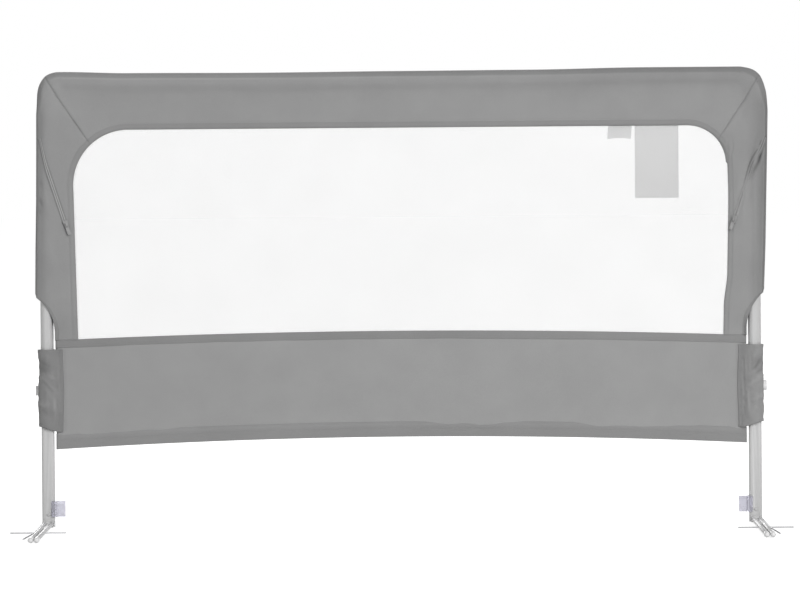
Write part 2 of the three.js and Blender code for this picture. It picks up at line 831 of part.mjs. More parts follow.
// Stations from the middle of the top to the foot: a point of the tube and one of the window's edge at each
const topShares = [0, 0.45, 0.8, 0.886, 0.915, 0.945, 0.965, 0.985, 1];
const sideShares = [0.03, 0.064, 0.1, 0.14, 0.172, 0.3, 0.5, 0.72];
const lowShares = [coverFullHeight, coverFlatHeight, coverFoot].map(
  (height) => 1 - (height - coverFoot) / tubeSideLine.getLength()
);
const stationsOn = (tubeLine, windowLine, shares) =>
  shares.map((share) => [tubeLine.getPoint(share), windowLine.getPoint(share)]);
const stations = [
  ...stationsOn(tubeTopLine, windowTopLine, topShares),
  ...stationsOn(tubeSideLine, windowSideLine, [...sideShares, ...lowShares]),
];

function coverRings(inset) {
  const half = stations.map(([tubePoint, windowPoint]) => coverRing(tubePoint, windowPoint, inset));
  const flip = (point) => new THREE.Vector3(-point.x, point.y, point.z);
  const mirrored = half.slice(1).reverse().map((ring) => ring.map(flip));
  return [...mirrored, ...half];
}

const coverShell = cut(loft(coverRings(0)), loft(coverRings(coverWall)));

// Edges of the fabric panel, as heights above the bed base
const panelTopAt = (x) => panelTopHeight + panelTopRise * (1 - (x / panelHalfWidth) ** 2);
const panelBottomAt = (x) => panelBottomHeight + panelBottomRise * (1 - (x / panelHalfWidth) ** 2);

function edgePoints(heightAt, from, to) {
  return Array.from({ length: edgeSteps + 1 }, (unused, i) => {
    const x = THREE.MathUtils.lerp(from, to, i / edgeSteps);
    return [x, heightAt(x)];
  });
}

// Side band region between the mitre, the hem that leaves the tube and the panel's top edge
const mitreInner = windowSideLine.getPoint(0);
const mitreOuter = tubeSideLine.getPoint(0);
const mitreAlong = new THREE.Vector2().subVectors(mitreOuter, mitreInner).normalize();
const mitreAcross = new THREE.Vector2(mitreAlong.y, -mitreAlong.x).multiplyScalar(fitGap / 2);

function mitreCorner(point, reach, side) {
  const corner = point.clone().addScaledVector(mitreAlong, reach).addScaledVector(mitreAcross, side);
  return [corner.x, corner.y];
}

function sideBand() {
  const edgeInset = windowHalfWidth - windowTaper - windowCornerRadius;
  const hem = new THREE.QuadraticBezierCurve(
    new THREE.Vector2(coverHalfWidth + overrun, panelTopHeight + hemOuterRise),
    new THREE.Vector2(coverHalfWidth - hemBendInset, panelTopHeight + hemBendRise),
    new THREE.Vector2(panelHalfWidth, panelTopHeight + hemInnerRise)
  );
  const region = polygon(
    mitreCorner(mitreInner, -overrun, 1),
    mitreCorner(mitreOuter, 2 * coverCornerRadius, 1),
    [coverHalfWidth + coverCornerRadius, coverTop],
    [coverHalfWidth + coverCornerRadius, panelTopHeight + hemOuterRise],
    ...hem.getPoints(edgeSteps).map((p) => [p.x, p.y]),
    ...edgePoints((x) => panelTopAt(x) + fitGap, panelHalfWidth, edgeInset)
  );
  return common(coverShell, prismY(region, -tubeDiameter, tubeDiameter));
}

function topBand() {
  const right = [
    mitreCorner(mitreInner, -overrun, -1),
    mitreCorner(mitreOuter, 2 * coverCornerRadius, -1),
  ];
  const left = right.map(([x, z]) => [-x, z]).reverse();
  const low = windowTop - windowCornerRadius;
  const region = polygon(...right, ...left, [-windowBend.x, low], [windowBend.x, low]);
  return common(coverShell, prismY(region, -tubeDiameter, tubeDiameter));
}

function meshWindow() {
  const foot = (x) => panelTopAt(x) + fitGap;
  const lowX = windowHalfWidth - windowTaper - fitGap;
  const edge = stations
    .filter(([tubePoint]) => tubePoint.y > coverFullHeight)
    .map(([tubePoint, windowPoint]) => {
      const inwards = new THREE.Vector2().subVectors(windowPoint, tubePoint).setLength(fitGap);
      return [windowPoint.x + inwards.x, windowPoint.y + inwards.y];
    });
  const mirrored = edge.slice(1).map(([x, z]) => [-x, z]);
  const region = polygon(...edgePoints(foot, -lowX, lowX), ...edge.reverse(), ...mirrored);
  return prismY(region, -meshThickness / 2, meshThickness / 2);
}

// Lower panel halves: full width above and below the sleeves, and between the sleeve seams beside them
const seamX = halfSpacing - sleeveTail - fitGap;

function panelUpper() {
  const shelf = sleeveTopHeight + fitGap;
  const foot = pivotHeight + fitGap;
  const region = polygon(
    [-seamX, foot],
    [seamX, foot],
    [seamX, shelf],
    [panelHalfWidth, shelf],
    ...edgePoints(panelTopAt, panelHalfWidth, -panelHalfWidth),
    [-panelHalfWidth, shelf],
    [-seamX, shelf]
  );
  return prismY(region, -panelThickness / 2, panelThickness / 2);
}

function panelLower() {
  const shelf = sleeveBottomHeight - sleeveBottomDrop - fitGap;
  const head = pivotHeight - fitGap;
  const region = polygon(
    [seamX, head],
    [-seamX, head],
    [-seamX, shelf],
    [-panelHalfWidth, shelf],
    ...edgePoints(panelBottomAt, -panelHalfWidth, panelHalfWidth),
    [panelHalfWidth, shelf],
    [seamX, shelf]
  );
  return prismY(region, -panelThickness / 2, panelThickness / 2);
}

// Sleeves, in the side group: a loop round the hinge that narrows to its seam on the panel
const socketCorner = new THREE.Vector2(hingeHalfWidth, hingeHalfDepth).subScalar(hingeCornerRadius);
const sleeveInner = socketCorner.length() + hingeCornerRadius + fitGap;
const sleeveOuter = sleeveInner + sleeveWall;

function teardrop(radius, tailReach, tailHalf) {
  const lean = Math.asin((radius - tailHalf) / tailReach);
  const start = -Math.PI / 2 - lean;
  const shape = new THREE.Shape();
  shape.moveTo(-tailReach, -tailHalf);
  shape.absarc(0, 0, radius, start, -start);
  shape.lineTo(-tailReach, tailHalf);
  return shape;
}

function sleeve(from, to, footOutline) {
  const tailHalf = sleeveTailThickness / 2;
  const room = teardrop(sleeveInner, sleeveTail - sleeveSeam, tailHalf / 2);
  const loop = cut(
    prismZ(teardrop(sleeveOuter, sleeveTail, tailHalf), from, to, arcSteps),
    prismZ(room, from - overrun, to + overrun, arcSteps)
  );
  const slot = block(
    new THREE.Vector3(-sleeveSlotInner, sleeveSlotFront, baseTop - baseDeck - sleeveSlotMargin),
    new THREE.Vector3(2 * sleeveOuter, 2 * sleeveOuter, pivotHeight + barrelRadius + sleeveSlotMargin)
  );
  const open = cut(loop, slot);
  return footOutline ? common(open, prismY(footOutline, -2 * sleeveOuter, 2 * sleeveOuter)) : open;
}

function sleeveUpper() {
  return sleeve(pivotHeight + fitGap, sleeveTopHeight);
}

function sleeveLower() {
  const low = sleeveBottomHeight - sleeveBottomDrop;
  const slanted = polygon(
    [-sleeveTail - overrun, low],
    [sleeveOuter, sleeveBottomHeight],
    [sleeveOuter + overrun, sleeveBottomHeight],
    [sleeveOuter + overrun, pivotHeight],
    [-sleeveTail - overrun, pivotHeight]
  );
  return sleeve(low, pivotHeight - fitGap, slanted);
}

// Zips, in the side group: a strip that follows the front of the side band
function bandFrontAt(x, z) {
  if (x >= 0) {
    return -coverHalfDepth * Math.sqrt(1 - (x / (coverHalfWidth - halfSpacing)) ** 2);
  }
  const down = Math.max(windowBend.y - z, 0) / (windowBend.y - coverFoot);
  const length = halfSpacing - windowHalfWidth + windowTaper * down;
  const slope = (coverHalfDepth - windowEdgeHalf) / length;
  const shoulder = coverHalfDepth * slope;
  const shoulderHalf = coverHalfDepth * Math.sqrt(1 - slope * slope);
  if (-x <= shoulder) {
    return -Math.sqrt(coverHalfDepth ** 2 - x * x);
  }
  return -THREE.MathUtils.mapLinear(-x, shoulder, length, shoulderHalf, windowEdgeHalf);
}

const zipTop = new THREE.Vector2(zipTopOffset, topTubeHeight - zipTopDrop);
const zipBottom = new THREE.Vector2(-zipBottomOffset, zipTop.y - zipHeight);
const zipRun = new THREE.Vector2().subVectors(zipTop, zipBottom);

function bandPoint(x, z) {
  return new THREE.Vector3(x, bandFrontAt(x, z), z);
}

function bandNormal(x, z) {
  const here = bandPoint(x, z);
  const beside = bandPoint(x - fitGap, z).sub(here);
  const above = bandPoint(x, z + fitGap).sub(here);
  return new THREE.Vector3().crossVectors(above, beside).normalize();
}

function zipStrip() {
  const rings = Array.from({ length: arcSteps + 1 }, (unused, i) => {
    const middle = zipBottom.clone().addScaledVector(zipRun, i / arcSteps);
    const across = new THREE.Vector2(zipRun.y, -zipRun.x).setLength(zipWidth / 2);
    const corner = (side, lift) => {
      const x = middle.x + across.x * side;
      const z = middle.y + across.y * side;
      const reach = Math.min(x, coverHalfWidth - halfSpacing - zipThickness);
      return bandPoint(reach, z).addScaledVector(bandNormal(reach, z), lift);
    };
    const low = 2 * fitGap;
    const high = low + zipThickness;
    const under = [-1, 0, 1].map((side) => corner(side, low));
    const over = [1, 0, -1].map((side) => corner(side, high));
    return [...under, ...over];
  });
  return loft(rings);
}

// Slider frame: its X runs up along the zip, its Z stands off the fabric
function sliderFrame() {
  const x = zipBottom.x;
  const z = zipBottom.y;
  const along = bandPoint(x + zipRun.x * fitGap / zipRun.y, z + fitGap).sub(bandPoint(x, z)).normalize();
  const normal = bandNormal(x, z);
  const across = new THREE.Vector3().crossVectors(normal, along).normalize();
  const frame = new THREE.Group();
  const lift = 3 * fitGap + zipThickness;
  const matrix = new THREE.Matrix4().makeBasis(along, across, normal);
  const origin = bandPoint(x, z).addScaledVector(along, sliderLength / 2).addScaledVector(normal, lift);
  frame.applyMatrix4(matrix.setPosition(origin));
  return frame;
}

function zipSlider() {
  const half = sliderLength / 2;
  const plate = polygon(
    [-half, -sliderWidth / 2 + sliderTaper / 2],
    [half, -sliderWidth / 2],
    [half, sliderWidth / 2],
    [-half, sliderWidth / 2 - sliderTaper / 2]
  );
  const bridgeTop = sliderHeight + bridgeHeight;
  const post = (from, to, low) =>
    block(
      new THREE.Vector3(from, -bridgeWidth / 2, low),
      new THREE.Vector3(to, bridgeWidth / 2, bridgeTop)
    );
  const reach = bridgeLength / 2;
  return join(
    prismZ(plate, 0, sliderHeight),
    post(-reach, bridgeThickness - reach, sliderHeight / 2),
    post(reach - bridgeThickness, reach, sliderHeight / 2),
    post(-reach, reach, bridgeTop - bridgeThickness)
  );
}

function zipPull() {
  const low = sliderHeight + bridgeHeight / 2 - pullThickness;
  const pivotX = bridgeThickness + fitGap - bridgeLength / 2;
  const eyeHalf = bridgeWidth / 2 + fitGap;
  const outline = polygon(
    [pivotX + bridgeThickness, -pullWidth / 2],
    [pivotX + bridgeThickness, pullWidth / 2],
    [pivotX - pullLength, pullWidth / 2],
    [pivotX - pullLength, -pullWidth / 2]
  );
  const eye = block(
    new THREE.Vector3(pivotX - pullEyeLength, -eyeHalf, low - overrun),
    new THREE.Vector3(pivotX, eyeHalf, low + overrun)
  );
  return cut(prismZ(outline, low, low + pullThickness), eye);
}

// Woven tabs behind the netting
function wovenTab(offset, width, length, curve) {
  const top = windowTop - fitGap;
  const low = windowTop - length;
  const foot = Array.from({ length: tabSteps + 1 }, (unused, i) => {
    const share = (2 * i) / tabSteps - 1;
    return [offset + (share * width) / 2, low + curve * share * share];
  });
  const front = meshThickness / 2 + fitGap;
  const outline = polygon(...foot, [offset + width / 2, top], [offset - width / 2, top]);
  return prismY(outline, front, front + tabThickness);
}

// The whole rail, centred over its own footprint
const rail = new THREE.Group();
const rearReach = pivotSetback + barrelRadius;
rail.position.y = (armReach - rearReach) / 2;

piece(rail, "frame_middle", middleTube(), tubePaint());
piece(rail, "cover_top", topBand(), greyFabric());
piece(rail, "mesh_window", meshWindow(), netting());
piece(rail, "panel_upper", panelUpper(), greyFabric());
piece(rail, "panel_lower", panelLower(), greyFabric());
const largeTab = wovenTab(windowHalfWidth - largeTabInset, largeTabWidth, largeTabLength, 0);
piece(rail, "woven_tab_large", largeTab, wovenTape());
const smallTab = wovenTab(windowHalfWidth - smallTabInset, smallTabWidth, smallTabLength, smallTabCurve);
piece(rail, "woven_tab_small", smallTab, wovenTape());

for (const [name, side] of [["left", -1], ["right", 1]]) {
  const group = new THREE.Group();
  group.position.x = side * halfSpacing;
  group.scale.x = side;
  rail.add(group);
  piece(group, `frame_corner_${name}`, cornerTube(), tubePaint());
  piece(group, `frame_joiner_${name}`, joiner(), steel());
  const joint = jointOffset - halfSpacing;
  piece(group, `joiner_screw_${name}_inner`, joinerScrew(joint - joinerScrewInset), steel());
  piece(group, `joiner_screw_${name}_outer`, joinerScrew(joint + joinerScrewInset), steel());
  piece(group, `hinge_fork_${name}`, hingeFork(), greyPlastic());
  piece(group, `fork_rivet_${name}`, forkRivet(), steel());
  const band = piece(group, `cover_${name}`, sideBand(), greyFabric());
  band.position.x = -halfSpacing;
  piece(group, `sleeve_upper_${name}`, sleeveUpper(), sleeveFabric());
  piece(group, `zip_${name}`, zipStrip(), zipNylon());
  const slider = sliderFrame();
  group.add(slider);
  piece(slider, `zip_slider_${name}`, zipSlider(), steel());
  piece(slider, `zip_pull_${name}`, zipPull(), steel());

  piece(group, `lower_leg_${name}`, lowerLeg(), tubePaint());
  piece(group, `hinge_base_${name}`, hingeBase(), greyPlastic());
  piece(group, `base_rivet_${name}`, domedRivet(hingeHalfDepth, 0, baseTop - baseRivetInset), steel());
  piece(group, `pivot_pin_${name}`, pivotPin(), steel());
  piece(group, `release_button_${name}`, releaseButton(), greyPlastic());
  piece(group, `release_spring_${name}`, releaseSpring(), steel());
  piece(group, `sleeve_lower_${name}`, sleeveLower(), sleeveFabric());

  piece(group, `foot_bracket_${name}`, footBracket(), greyPlastic());
  piece(group, `foot_rivet_${name}`, domedRivet(legDepth / 2, 0, bracketHeight + footRivetRise), steel());
  piece(group, `foot_pin_${name}`, footPin(), steel());
  piece(group, `foot_arm_${name}`, footArm(), tubePaint());
  piece(group, `cross_wire_${name}`, crossWire(), steel());
  piece(group, `arm_cap_${name}_inner`, armCap(-1), greyVinyl());
  piece(group, `arm_cap_${name}_outer`, armCap(1), greyVinyl());
  piece(group, `foot_lock_${name}`, footLock(), lilacPlastic());
}

export default rail;
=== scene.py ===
"""Folding bed guard rail: the fabric, netting, fittings and finishes round the packed frame.

Metres, in the frame's own axes: +X runs along the rail, +Y points away from the mattress and +Z points up.
"""

import json
import math
from contextlib import contextmanager

import bmesh
import bpy
import numpy as np
from bpy.props import FloatProperty, FloatVectorProperty, PointerProperty
from mathutils import Matrix, Vector, noise


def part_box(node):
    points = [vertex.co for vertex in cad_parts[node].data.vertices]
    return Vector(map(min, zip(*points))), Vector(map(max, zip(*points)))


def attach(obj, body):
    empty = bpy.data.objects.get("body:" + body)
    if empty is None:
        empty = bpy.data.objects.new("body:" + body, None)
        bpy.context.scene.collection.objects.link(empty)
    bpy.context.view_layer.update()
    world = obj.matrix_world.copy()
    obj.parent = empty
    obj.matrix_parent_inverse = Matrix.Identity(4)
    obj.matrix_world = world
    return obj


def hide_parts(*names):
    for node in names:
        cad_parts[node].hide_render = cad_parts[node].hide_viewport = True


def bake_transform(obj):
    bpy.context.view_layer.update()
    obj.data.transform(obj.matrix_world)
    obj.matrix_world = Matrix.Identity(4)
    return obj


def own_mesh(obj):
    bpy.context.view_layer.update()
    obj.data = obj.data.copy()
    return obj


bl_info = {
    "name": "Folding bed guard rail",
    "version": (1, 0, 0),
    "blender": (4, 5, 0),
    "location": "3D View > Sidebar > Bed rail",
    "description": "Dresses the packed bed guard rail in fabric, netting and finishes",
    "category": "Add Mesh",
}

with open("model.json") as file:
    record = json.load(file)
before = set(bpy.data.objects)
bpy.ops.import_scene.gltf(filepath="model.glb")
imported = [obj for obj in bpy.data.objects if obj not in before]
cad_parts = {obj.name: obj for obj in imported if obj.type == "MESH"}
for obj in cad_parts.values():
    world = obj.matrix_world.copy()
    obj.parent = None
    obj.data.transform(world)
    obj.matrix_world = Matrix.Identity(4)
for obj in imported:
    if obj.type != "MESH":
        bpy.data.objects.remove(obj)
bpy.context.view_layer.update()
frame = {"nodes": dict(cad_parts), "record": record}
MM = 0.001
SIDES = (("left", -1), ("right", 1))


def low(node):
    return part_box(node)[0]


def high(node):
    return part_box(node)[1]


# Places read from the frame
TUBE_RADIUS = (high("frame_middle").z - low("frame_middle").z) / 2
TUBE_TOP = high("frame_middle").z - TUBE_RADIUS
UPRIGHT_X = high("frame_corner_right").x - TUBE_RADIUS
PLANE_Y = (high("frame_middle").y + low("frame_middle").y) / 2
COVER_X = high("cover_right").x
COVER_TOP = high("cover_top").z
COVER_DEPTH = (high("cover_top").y - low("cover_top").y) / 2
COVER_FOOT = low("cover_right").z
PANEL_X = high("panel_upper").x
PANEL_Y = (low("panel_upper").y + high("panel_upper").y) / 2
SLEEVE_RISE = 2.8 * MM
SLEEVE_TOP = high("sleeve_upper_right").z + SLEEVE_RISE
SLEEVE_FOOT = low("sleeve_lower_right").z
SLEEVE_SEAM_X = low("sleeve_upper_right").x


# Lines of the frame that its boxes don't give: the left side's value comes first where the sides differ
TUBE_BEND = 30 * MM
COVER_BEND = 36 * MM
WINDOW_TOP = 554 * MM
WINDOW_X = 455.5 * MM
WINDOW_BENDS = (77 * MM, 54 * MM)
WINDOW_TAPER = 5 * MM
WINDOW_BULGE = 4.2 * MM
SEAM_TURNS = ((2, 10), (-7, -5))
PANEL_TOP = 260.5 * MM
PANEL_TOP_RISE = 9.5 * MM
PANEL_FOOT = 109.8 * MM
PANEL_FOOT_RISE = 13 * MM
PANEL_FOOT_SKEW = 1.1 * MM
# Height, and how far to the right the cover's left and right edges lie there, in millimetres
OUTLINE_SHIFTS = (
    (330, 1.2, -3.2),
    (386, 2.0, -1.0),
    (456, 3.6, 0.6),
    (526, 4.4, 2.2),
    (575, 4.8, 3.2),
    (590, 5.8, 2.2),
    (600, 6.2, 1.1),
    (607, 5.6, 0.4),
    (616, 4.6, 1.4),
    (625, 4.4, 3.2),
)
HEM_CURVE = ((512 * MM, 321.5 * MM), (484 * MM, 306 * MM), (482 * MM, 272 * MM))
ZIP_TOP = (503 * MM, 536 * MM)
ZIP_FOOT = (465 * MM, 418 * MM)
# How far the window's stitches lie from its edge
HEM_SEAM = 6.8 * MM
# How far the panel's stitches lie from the inner edge of a hem, and at what share of its rise
HEM_STITCH_IN = 1.9 * MM
HEM_STITCH_RISE = 0.62


# Sizes and colours that a user would change


def size(name, millimetres, description):
    return FloatProperty(
        name=name, default=millimetres * MM, description=description, unit="LENGTH", precision=5, min=0
    )


def position(name, default, description):
    return FloatProperty(name=name, default=default, description=description, unit="LENGTH")


def angle(name, default, description):
    return FloatProperty(name=name, default=default, description=description, subtype="ANGLE")


def share(name, default, description):
    return FloatProperty(name=name, default=default, description=description, min=0, soft_max=1)


def colour(name, default, description):
    return FloatVectorProperty(
        name=name, default=default, description=description, subtype="COLOR", size=3, min=0, max=1
    )


class CoverSizes(bpy.types.PropertyGroup):
    """Fabric cover round the tubes"""

    wall: size("Wall", 0.9, "Thickness of the cloth")
    hem_width: size("Window hem", 8.2, "Width of the hem round the window")
    hem_rise: size("Hem rise", 0.5, "How far the hem stands above the cloth")
    seam_depth: size("Seam depth", 1.0, "How deep the corner seams draw in")
    seam_width: size("Seam width", 1.3, "Half width of the hollow along a seam")
    piping_radius: size("Piping radius", 1.4, "Radius of the cord along the outer edges")
    ripple: size("Ripple", 0.45, "Height of the soft unevenness of the cloth")


class PanelSizes(bpy.types.PropertyGroup):
    """Lower fabric panel"""

    wall: size("Wall", 1.7, "Thickness of the panel")
    top_hem: size("Top hem", 10.5, "Height of the top hem")
    bottom_hem: size("Bottom hem", 13, "Height of the bottom hem")
    hem_rise: size("Hem rise", 0.8, "How far the hems stand above the panel")
    ripple: size("Ripple", 0.7, "Height of the soft unevenness of the cloth")


class NettingSizes(bpy.types.PropertyGroup):
    """Netting in the window"""

    wall: size("Thickness", 0.4, "Thickness of the netting")
    pitch: size("Pitch", 1.5, "Distance from hole to hole")
    thread: share("Thread share", 0.125, "Half width of a thread, as a share of the pitch")
    ripple: size("Ripple", 0.5, "How far the netting waves")


class SleeveSizes(bpy.types.PropertyGroup):
    """Sleeves round the hinges"""

    wall: size("Wall", 0.8, "Thickness of the cloth")
    fold: size("Fold", 1.0, "Height of the loose folds")
    slot_foot: size("Slot foot", 176.5, "Height of the lower end of the slot for the hinge")
    slot_top: size("Slot top", 203.5, "Height of the upper end of the slot for the hinge")


class ZipSizes(bpy.types.PropertyGroup):
    """Zips on the side bands"""

    lip_width: size("Lip width", 3.2, "Width of each lip over the teeth")
    lip_rise: size("Lip rise", 0.9, "Height of the lips above the cover")
    gap: size("Gap", 1.0, "Gap between the lips")
    tooth_pitch: size("Tooth pitch", 1.3, "Distance from tooth to tooth")
    tooth_length: size("Tooth length", 2.2, "Length of a tooth across the zip")
    tooth_width: size("Tooth width", 0.8, "Width of a tooth along the zip")


class SeamSizes(bpy.types.PropertyGroup):
    """Stitches of all the seams"""

    pitch: size("Pitch", 3.2, "Distance from stitch to stitch")
    length: size("Length", 2.4, "Length of a stitch")
    radius: size("Thread radius", 0.24, "Radius of the thread")


class Finishes(bpy.types.PropertyGroup):
    """Colours of the finishes, as linear light"""

    paint: colour("Tube paint", (0.56, 0.56, 0.56), "Powder coat of the tubes and legs")
    plastic: colour("Grey plastic", (0.62, 0.62, 0.62), "Moulded hinges and buttons")
    plated: colour("Plated steel", (0.46, 0.46, 0.47), "Rods, wires and rivets")
    cloth: colour("Cloth", (0.318, 0.318, 0.318), "Cover and panel cloth")
    sleeve_cloth: colour("Sleeve cloth", (0.262, 0.262, 0.262), "Sleeve cloth")
    net: colour("Netting", (0.88, 0.88, 0.88), "Netting thread")
    tape: colour("Woven tape", (0.75, 0.75, 0.75), "Blank sewn-in tabs")
    coil: colour("Zip coil", (0.24, 0.24, 0.24), "Zip teeth")
    slider: colour("Zip slider", (0.29, 0.29, 0.29), "Enamel of the sliders and pulls")
    vinyl: colour("Cap vinyl", (0.78, 0.78, 0.78), "Dipped caps of the arms")
    lilac: colour("Lock plastic", (0.65, 0.645, 0.715), "Translucent foot locks")


class StageSizes(bpy.types.PropertyGroup):
    """Camera, lamps and floor"""

    camera_x: position("Camera X", 21.9 * MM, "Camera place along the rail")
    camera_y: position("Camera Y", -8.323, "Camera place in front")
    camera_z: position("Camera Z", 0.5504, "Camera height")
    yaw: angle("Yaw", 0.00266, "Turn of the camera to the left")
    pitch: angle("Pitch", -0.02793, "Tilt of the camera")
    roll: angle("Roll", -0.0080, "Roll of the camera")
    lens: FloatProperty(name="Lens", default=273.56, description="Focal length in millimetres", min=1)
    key: share("Key lamp", 0.59, "Light of the key lamp on a white card at the rail")
    fill: share("Fill lamp", 0.04, "Light of the fill lamp on a white card at the rail")
    back: share("Back lamp", 0.40, "Light of the back lamp on a white card behind the rail")
    sky: share("Sky", 0.36, "Level of the light from all around")
    floor_radius: position("Floor radius", 30, "Radius of the floor")


class BedRail(bpy.types.PropertyGroup):
    """All the settings of the bed guard rail"""

    cover: PointerProperty(type=CoverSizes)
    panel: PointerProperty(type=PanelSizes)
    netting: PointerProperty(type=NettingSizes)
    sleeve: PointerProperty(type=SleeveSizes)
    zip: PointerProperty(type=ZipSizes)
    seam: PointerProperty(type=SeamSizes)
    finish: PointerProperty(type=Finishes)
    stage: PointerProperty(type=StageSizes)


# Meshes


def lerp(a, b, t):
    return a + (b - a) * t


def smooth(a, b, x):
    t = np.clip((x - a) / (b - a), 0, 1)
    return t * t * (3 - 2 * t)


def ramp(a, b, x):
    """Rises smoothly from 0 at a to 1 at b, which are in millimetres."""
    return smooth(a * MM, b * MM, x)


def bell(x, width):
    """A soft bump, 1 at the middle, which falls away over its width."""
    return np.exp(-((x / width) ** 2))


def mesh_object(name, points, faces, material, uv=None, tone=None):
    """An object from points and faces, with one UV and one tone for each point: the tone lightens or darkens
    the colour, much of it as painted shade and highlights.
    """
    points = np.asarray(points, float).reshape(-1, 3)
    mesh = bpy.data.meshes.new(name)
    mesh.from_pydata(points.tolist(), [], [list(f) for f in faces])
    if uv is not None:
        layer = mesh.uv_layers.new(name="weave")
        corner = np.empty(len(mesh.loops), np.int32)
        mesh.loops.foreach_get("vertex_index", corner)
        layer.data.foreach_set("uv", np.asarray(uv, np.float32).reshape(-1, 2)[corner].ravel())
    level = np.ones(len(points)) if tone is None else np.asarray(tone, float).ravel()
    mesh.attributes.new("tone", "FLOAT", "POINT").data.foreach_set("value", level.astype(np.float32))
    mesh.polygons.foreach_set("use_smooth", [True] * len(mesh.polygons))
    mesh.materials.append(material)
    obj = bpy.data.objects.new(name, mesh)
    bpy.context.collection.objects.link(obj)
    return obj


def quads(rows, columns, closed=False, keep=lambda i, j: True):
    """The faces of a grid of points, row by row."""
    faces = []
    for i in range(rows - 1):
        row, above = i * columns, (i + 1) * columns
        for j in range(columns if closed else columns - 1):
            k = (j + 1) % columns
            if keep(i, j):
                faces.append((row + j, row + k, above + k, above + j))
    return faces


def strip_faces(rows, columns):
    """The faces of a closed strip: each row of points is a loop, and both ends are capped."""
    last = rows * columns - 1
    caps = [tuple(range(columns)), tuple(range(last, last - columns, -1))]
    return quads(rows, columns, closed=True) + caps


@contextmanager
def opened(obj):
    """The object's mesh, open for editing, and written back at the end."""
    shape = bmesh.new()
    shape.from_mesh(obj.data)
    yield shape
    shape.to_mesh(obj.data)
    shape.free()


def weld(obj, distance=0.002 * MM):
    """Merges points that lie on each other."""
    with opened(obj) as shape:
        bmesh.ops.remove_doubles(shape, verts=shape.verts, dist=distance)
        bmesh.ops.dissolve_degenerate(shape, edges=shape.edges, dist=distance)


def remove_loose(obj):
    """Takes away points that no face uses."""
    with opened(obj) as shape:
        bmesh.ops.delete(shape, geom=[v for v in shape.verts if not v.link_faces], context="VERTS")


def face_outwards(obj):
    """Turns the faces of a closed shape outwards."""
    with opened(obj) as shape:
        bmesh.ops.recalc_face_normals(shape, faces=shape.faces)


def apply_modifiers(obj):
    """Turns what the modifiers show into the object's own mesh."""
    seen = obj.evaluated_get(bpy.context.evaluated_depsgraph_get())
    mesh = bpy.data.meshes.new_from_object(seen)
    obj.modifiers.clear()
    old, obj.data = obj.data, mesh
    bpy.data.meshes.remove(old)
    mesh.name = obj.name


def add_wall(obj, thickness):
    """Gives a sheet its thickness, inwards from the side that shows."""
    wall = obj.modifiers.new("wall", "SOLIDIFY")
    wall.thickness = thickness
    wall.offset = -1
    apply_modifiers(obj)


def piece(name, points, faces, slot, body=None, uv=None, tone=None, wall=0, mend=None, stands_for=()):
    """A finished piece. A sheet gets its wall, and a closed shape has its faces turned outwards."""
    obj = mesh_object(name, points, faces, material(slot), uv, tone)
    if mend:
        mend(obj)
    if wall:
        add_wall(obj, wall)
    else:
        face_outwards(obj)
    if body:
        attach(obj, body)
    if stands_for:
        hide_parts(*stands_for)
    return obj


def bend_at_fold(cloth):
    """Bakes the sheet's place into its mesh."""
    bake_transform(cloth)


def lengths_along(points):
    """Distance along a line of points, from its start."""
    steps = np.linalg.norm(np.diff(points, axis=0), axis=1)
    return np.concatenate([[0], np.cumsum(steps)])


def spaced(points, count):
    """The same line with evenly spaced points."""
    points = np.asarray(points, float)
    along = lengths_along(points)
    at = np.linspace(0, along[-1], count)
    return np.stack([np.interp(at, along, points[:, k]) for k in range(points.shape[1])], 1)


def rounded(points, count):
    """A smooth curve through the points, evenly spaced."""
    p = np.asarray(points, float)
    p = np.vstack([2 * p[0] - p[1], p, 2 * p[-1] - p[-2]])
    curve = []
    for a, b, c, d in zip(p, p[1:], p[2:], p[3:]):
        for t in np.linspace(0, 1, 12, endpoint=False):
            cubic = (3 * b - a - 3 * c + d) * t**3
            curve.append(0.5 * (2 * b + (c - a) * t + (2 * a - 5 * b + 4 * c - d) * t**2 + cubic))
    curve.append(p[-2])
    return spaced(curve, count)


def tube_mesh(route, radius, sides, taper=0):
    """Points, faces, UVs of a closed round tube along a route, thinner over taper at both ends."""
    route = [Vector(p) for p in route]
    along = lengths_along(np.array(route))
    side = None
    rings, uv = [], []
    for i, point in enumerate(route):
        ahead = (route[min(i + 1, len(route) - 1)] - route[max(i - 1, 0)]).normalized()
        if side is None:
            side = ahead.orthogonal().normalized()
        side = (side - ahead * side.dot(ahead)).normalized()
        up = ahead.cross(side)
        end = min(along[i], along[-1] - along[i])
        r = radius * (math.sqrt(max(0.04, 1 - (1 - min(1, end / taper)) ** 2)) if taper else 1)
        for k in range(sides):
            turn = 2 * math.pi * k / sides
            rings.append(point + side * (r * math.cos(turn)) + up * (r * math.sin(turn)))
            uv.append((along[i], turn * radius))
    faces = quads(len(route), sides, closed=True)
    count = len(rings)
    rings += [route[0], route[-1]]
    uv += [(0, 0), (along[-1], 0)]
    faces += [(count, (k + 1) % sides, k) for k in range(sides)]
    last = count - sides
    faces += [(count + 1, last + k, last + (k + 1) % sides) for k in range(sides)]
    return rings, faces, uv


def uneven(x, y, z, scale, seed=0):
    """Smooth noise at each point, between about -1 and 1."""
    shape = np.broadcast(x, y, z).shape
    flat = [np.broadcast_to(v, shape).ravel() for v in (x, y, z)]
    value = [noise.noise(Vector((a / scale, b / scale, c / scale + 7.3 * seed))) for a, b, c in zip(*flat)]
    return np.array(value).reshape(shape)


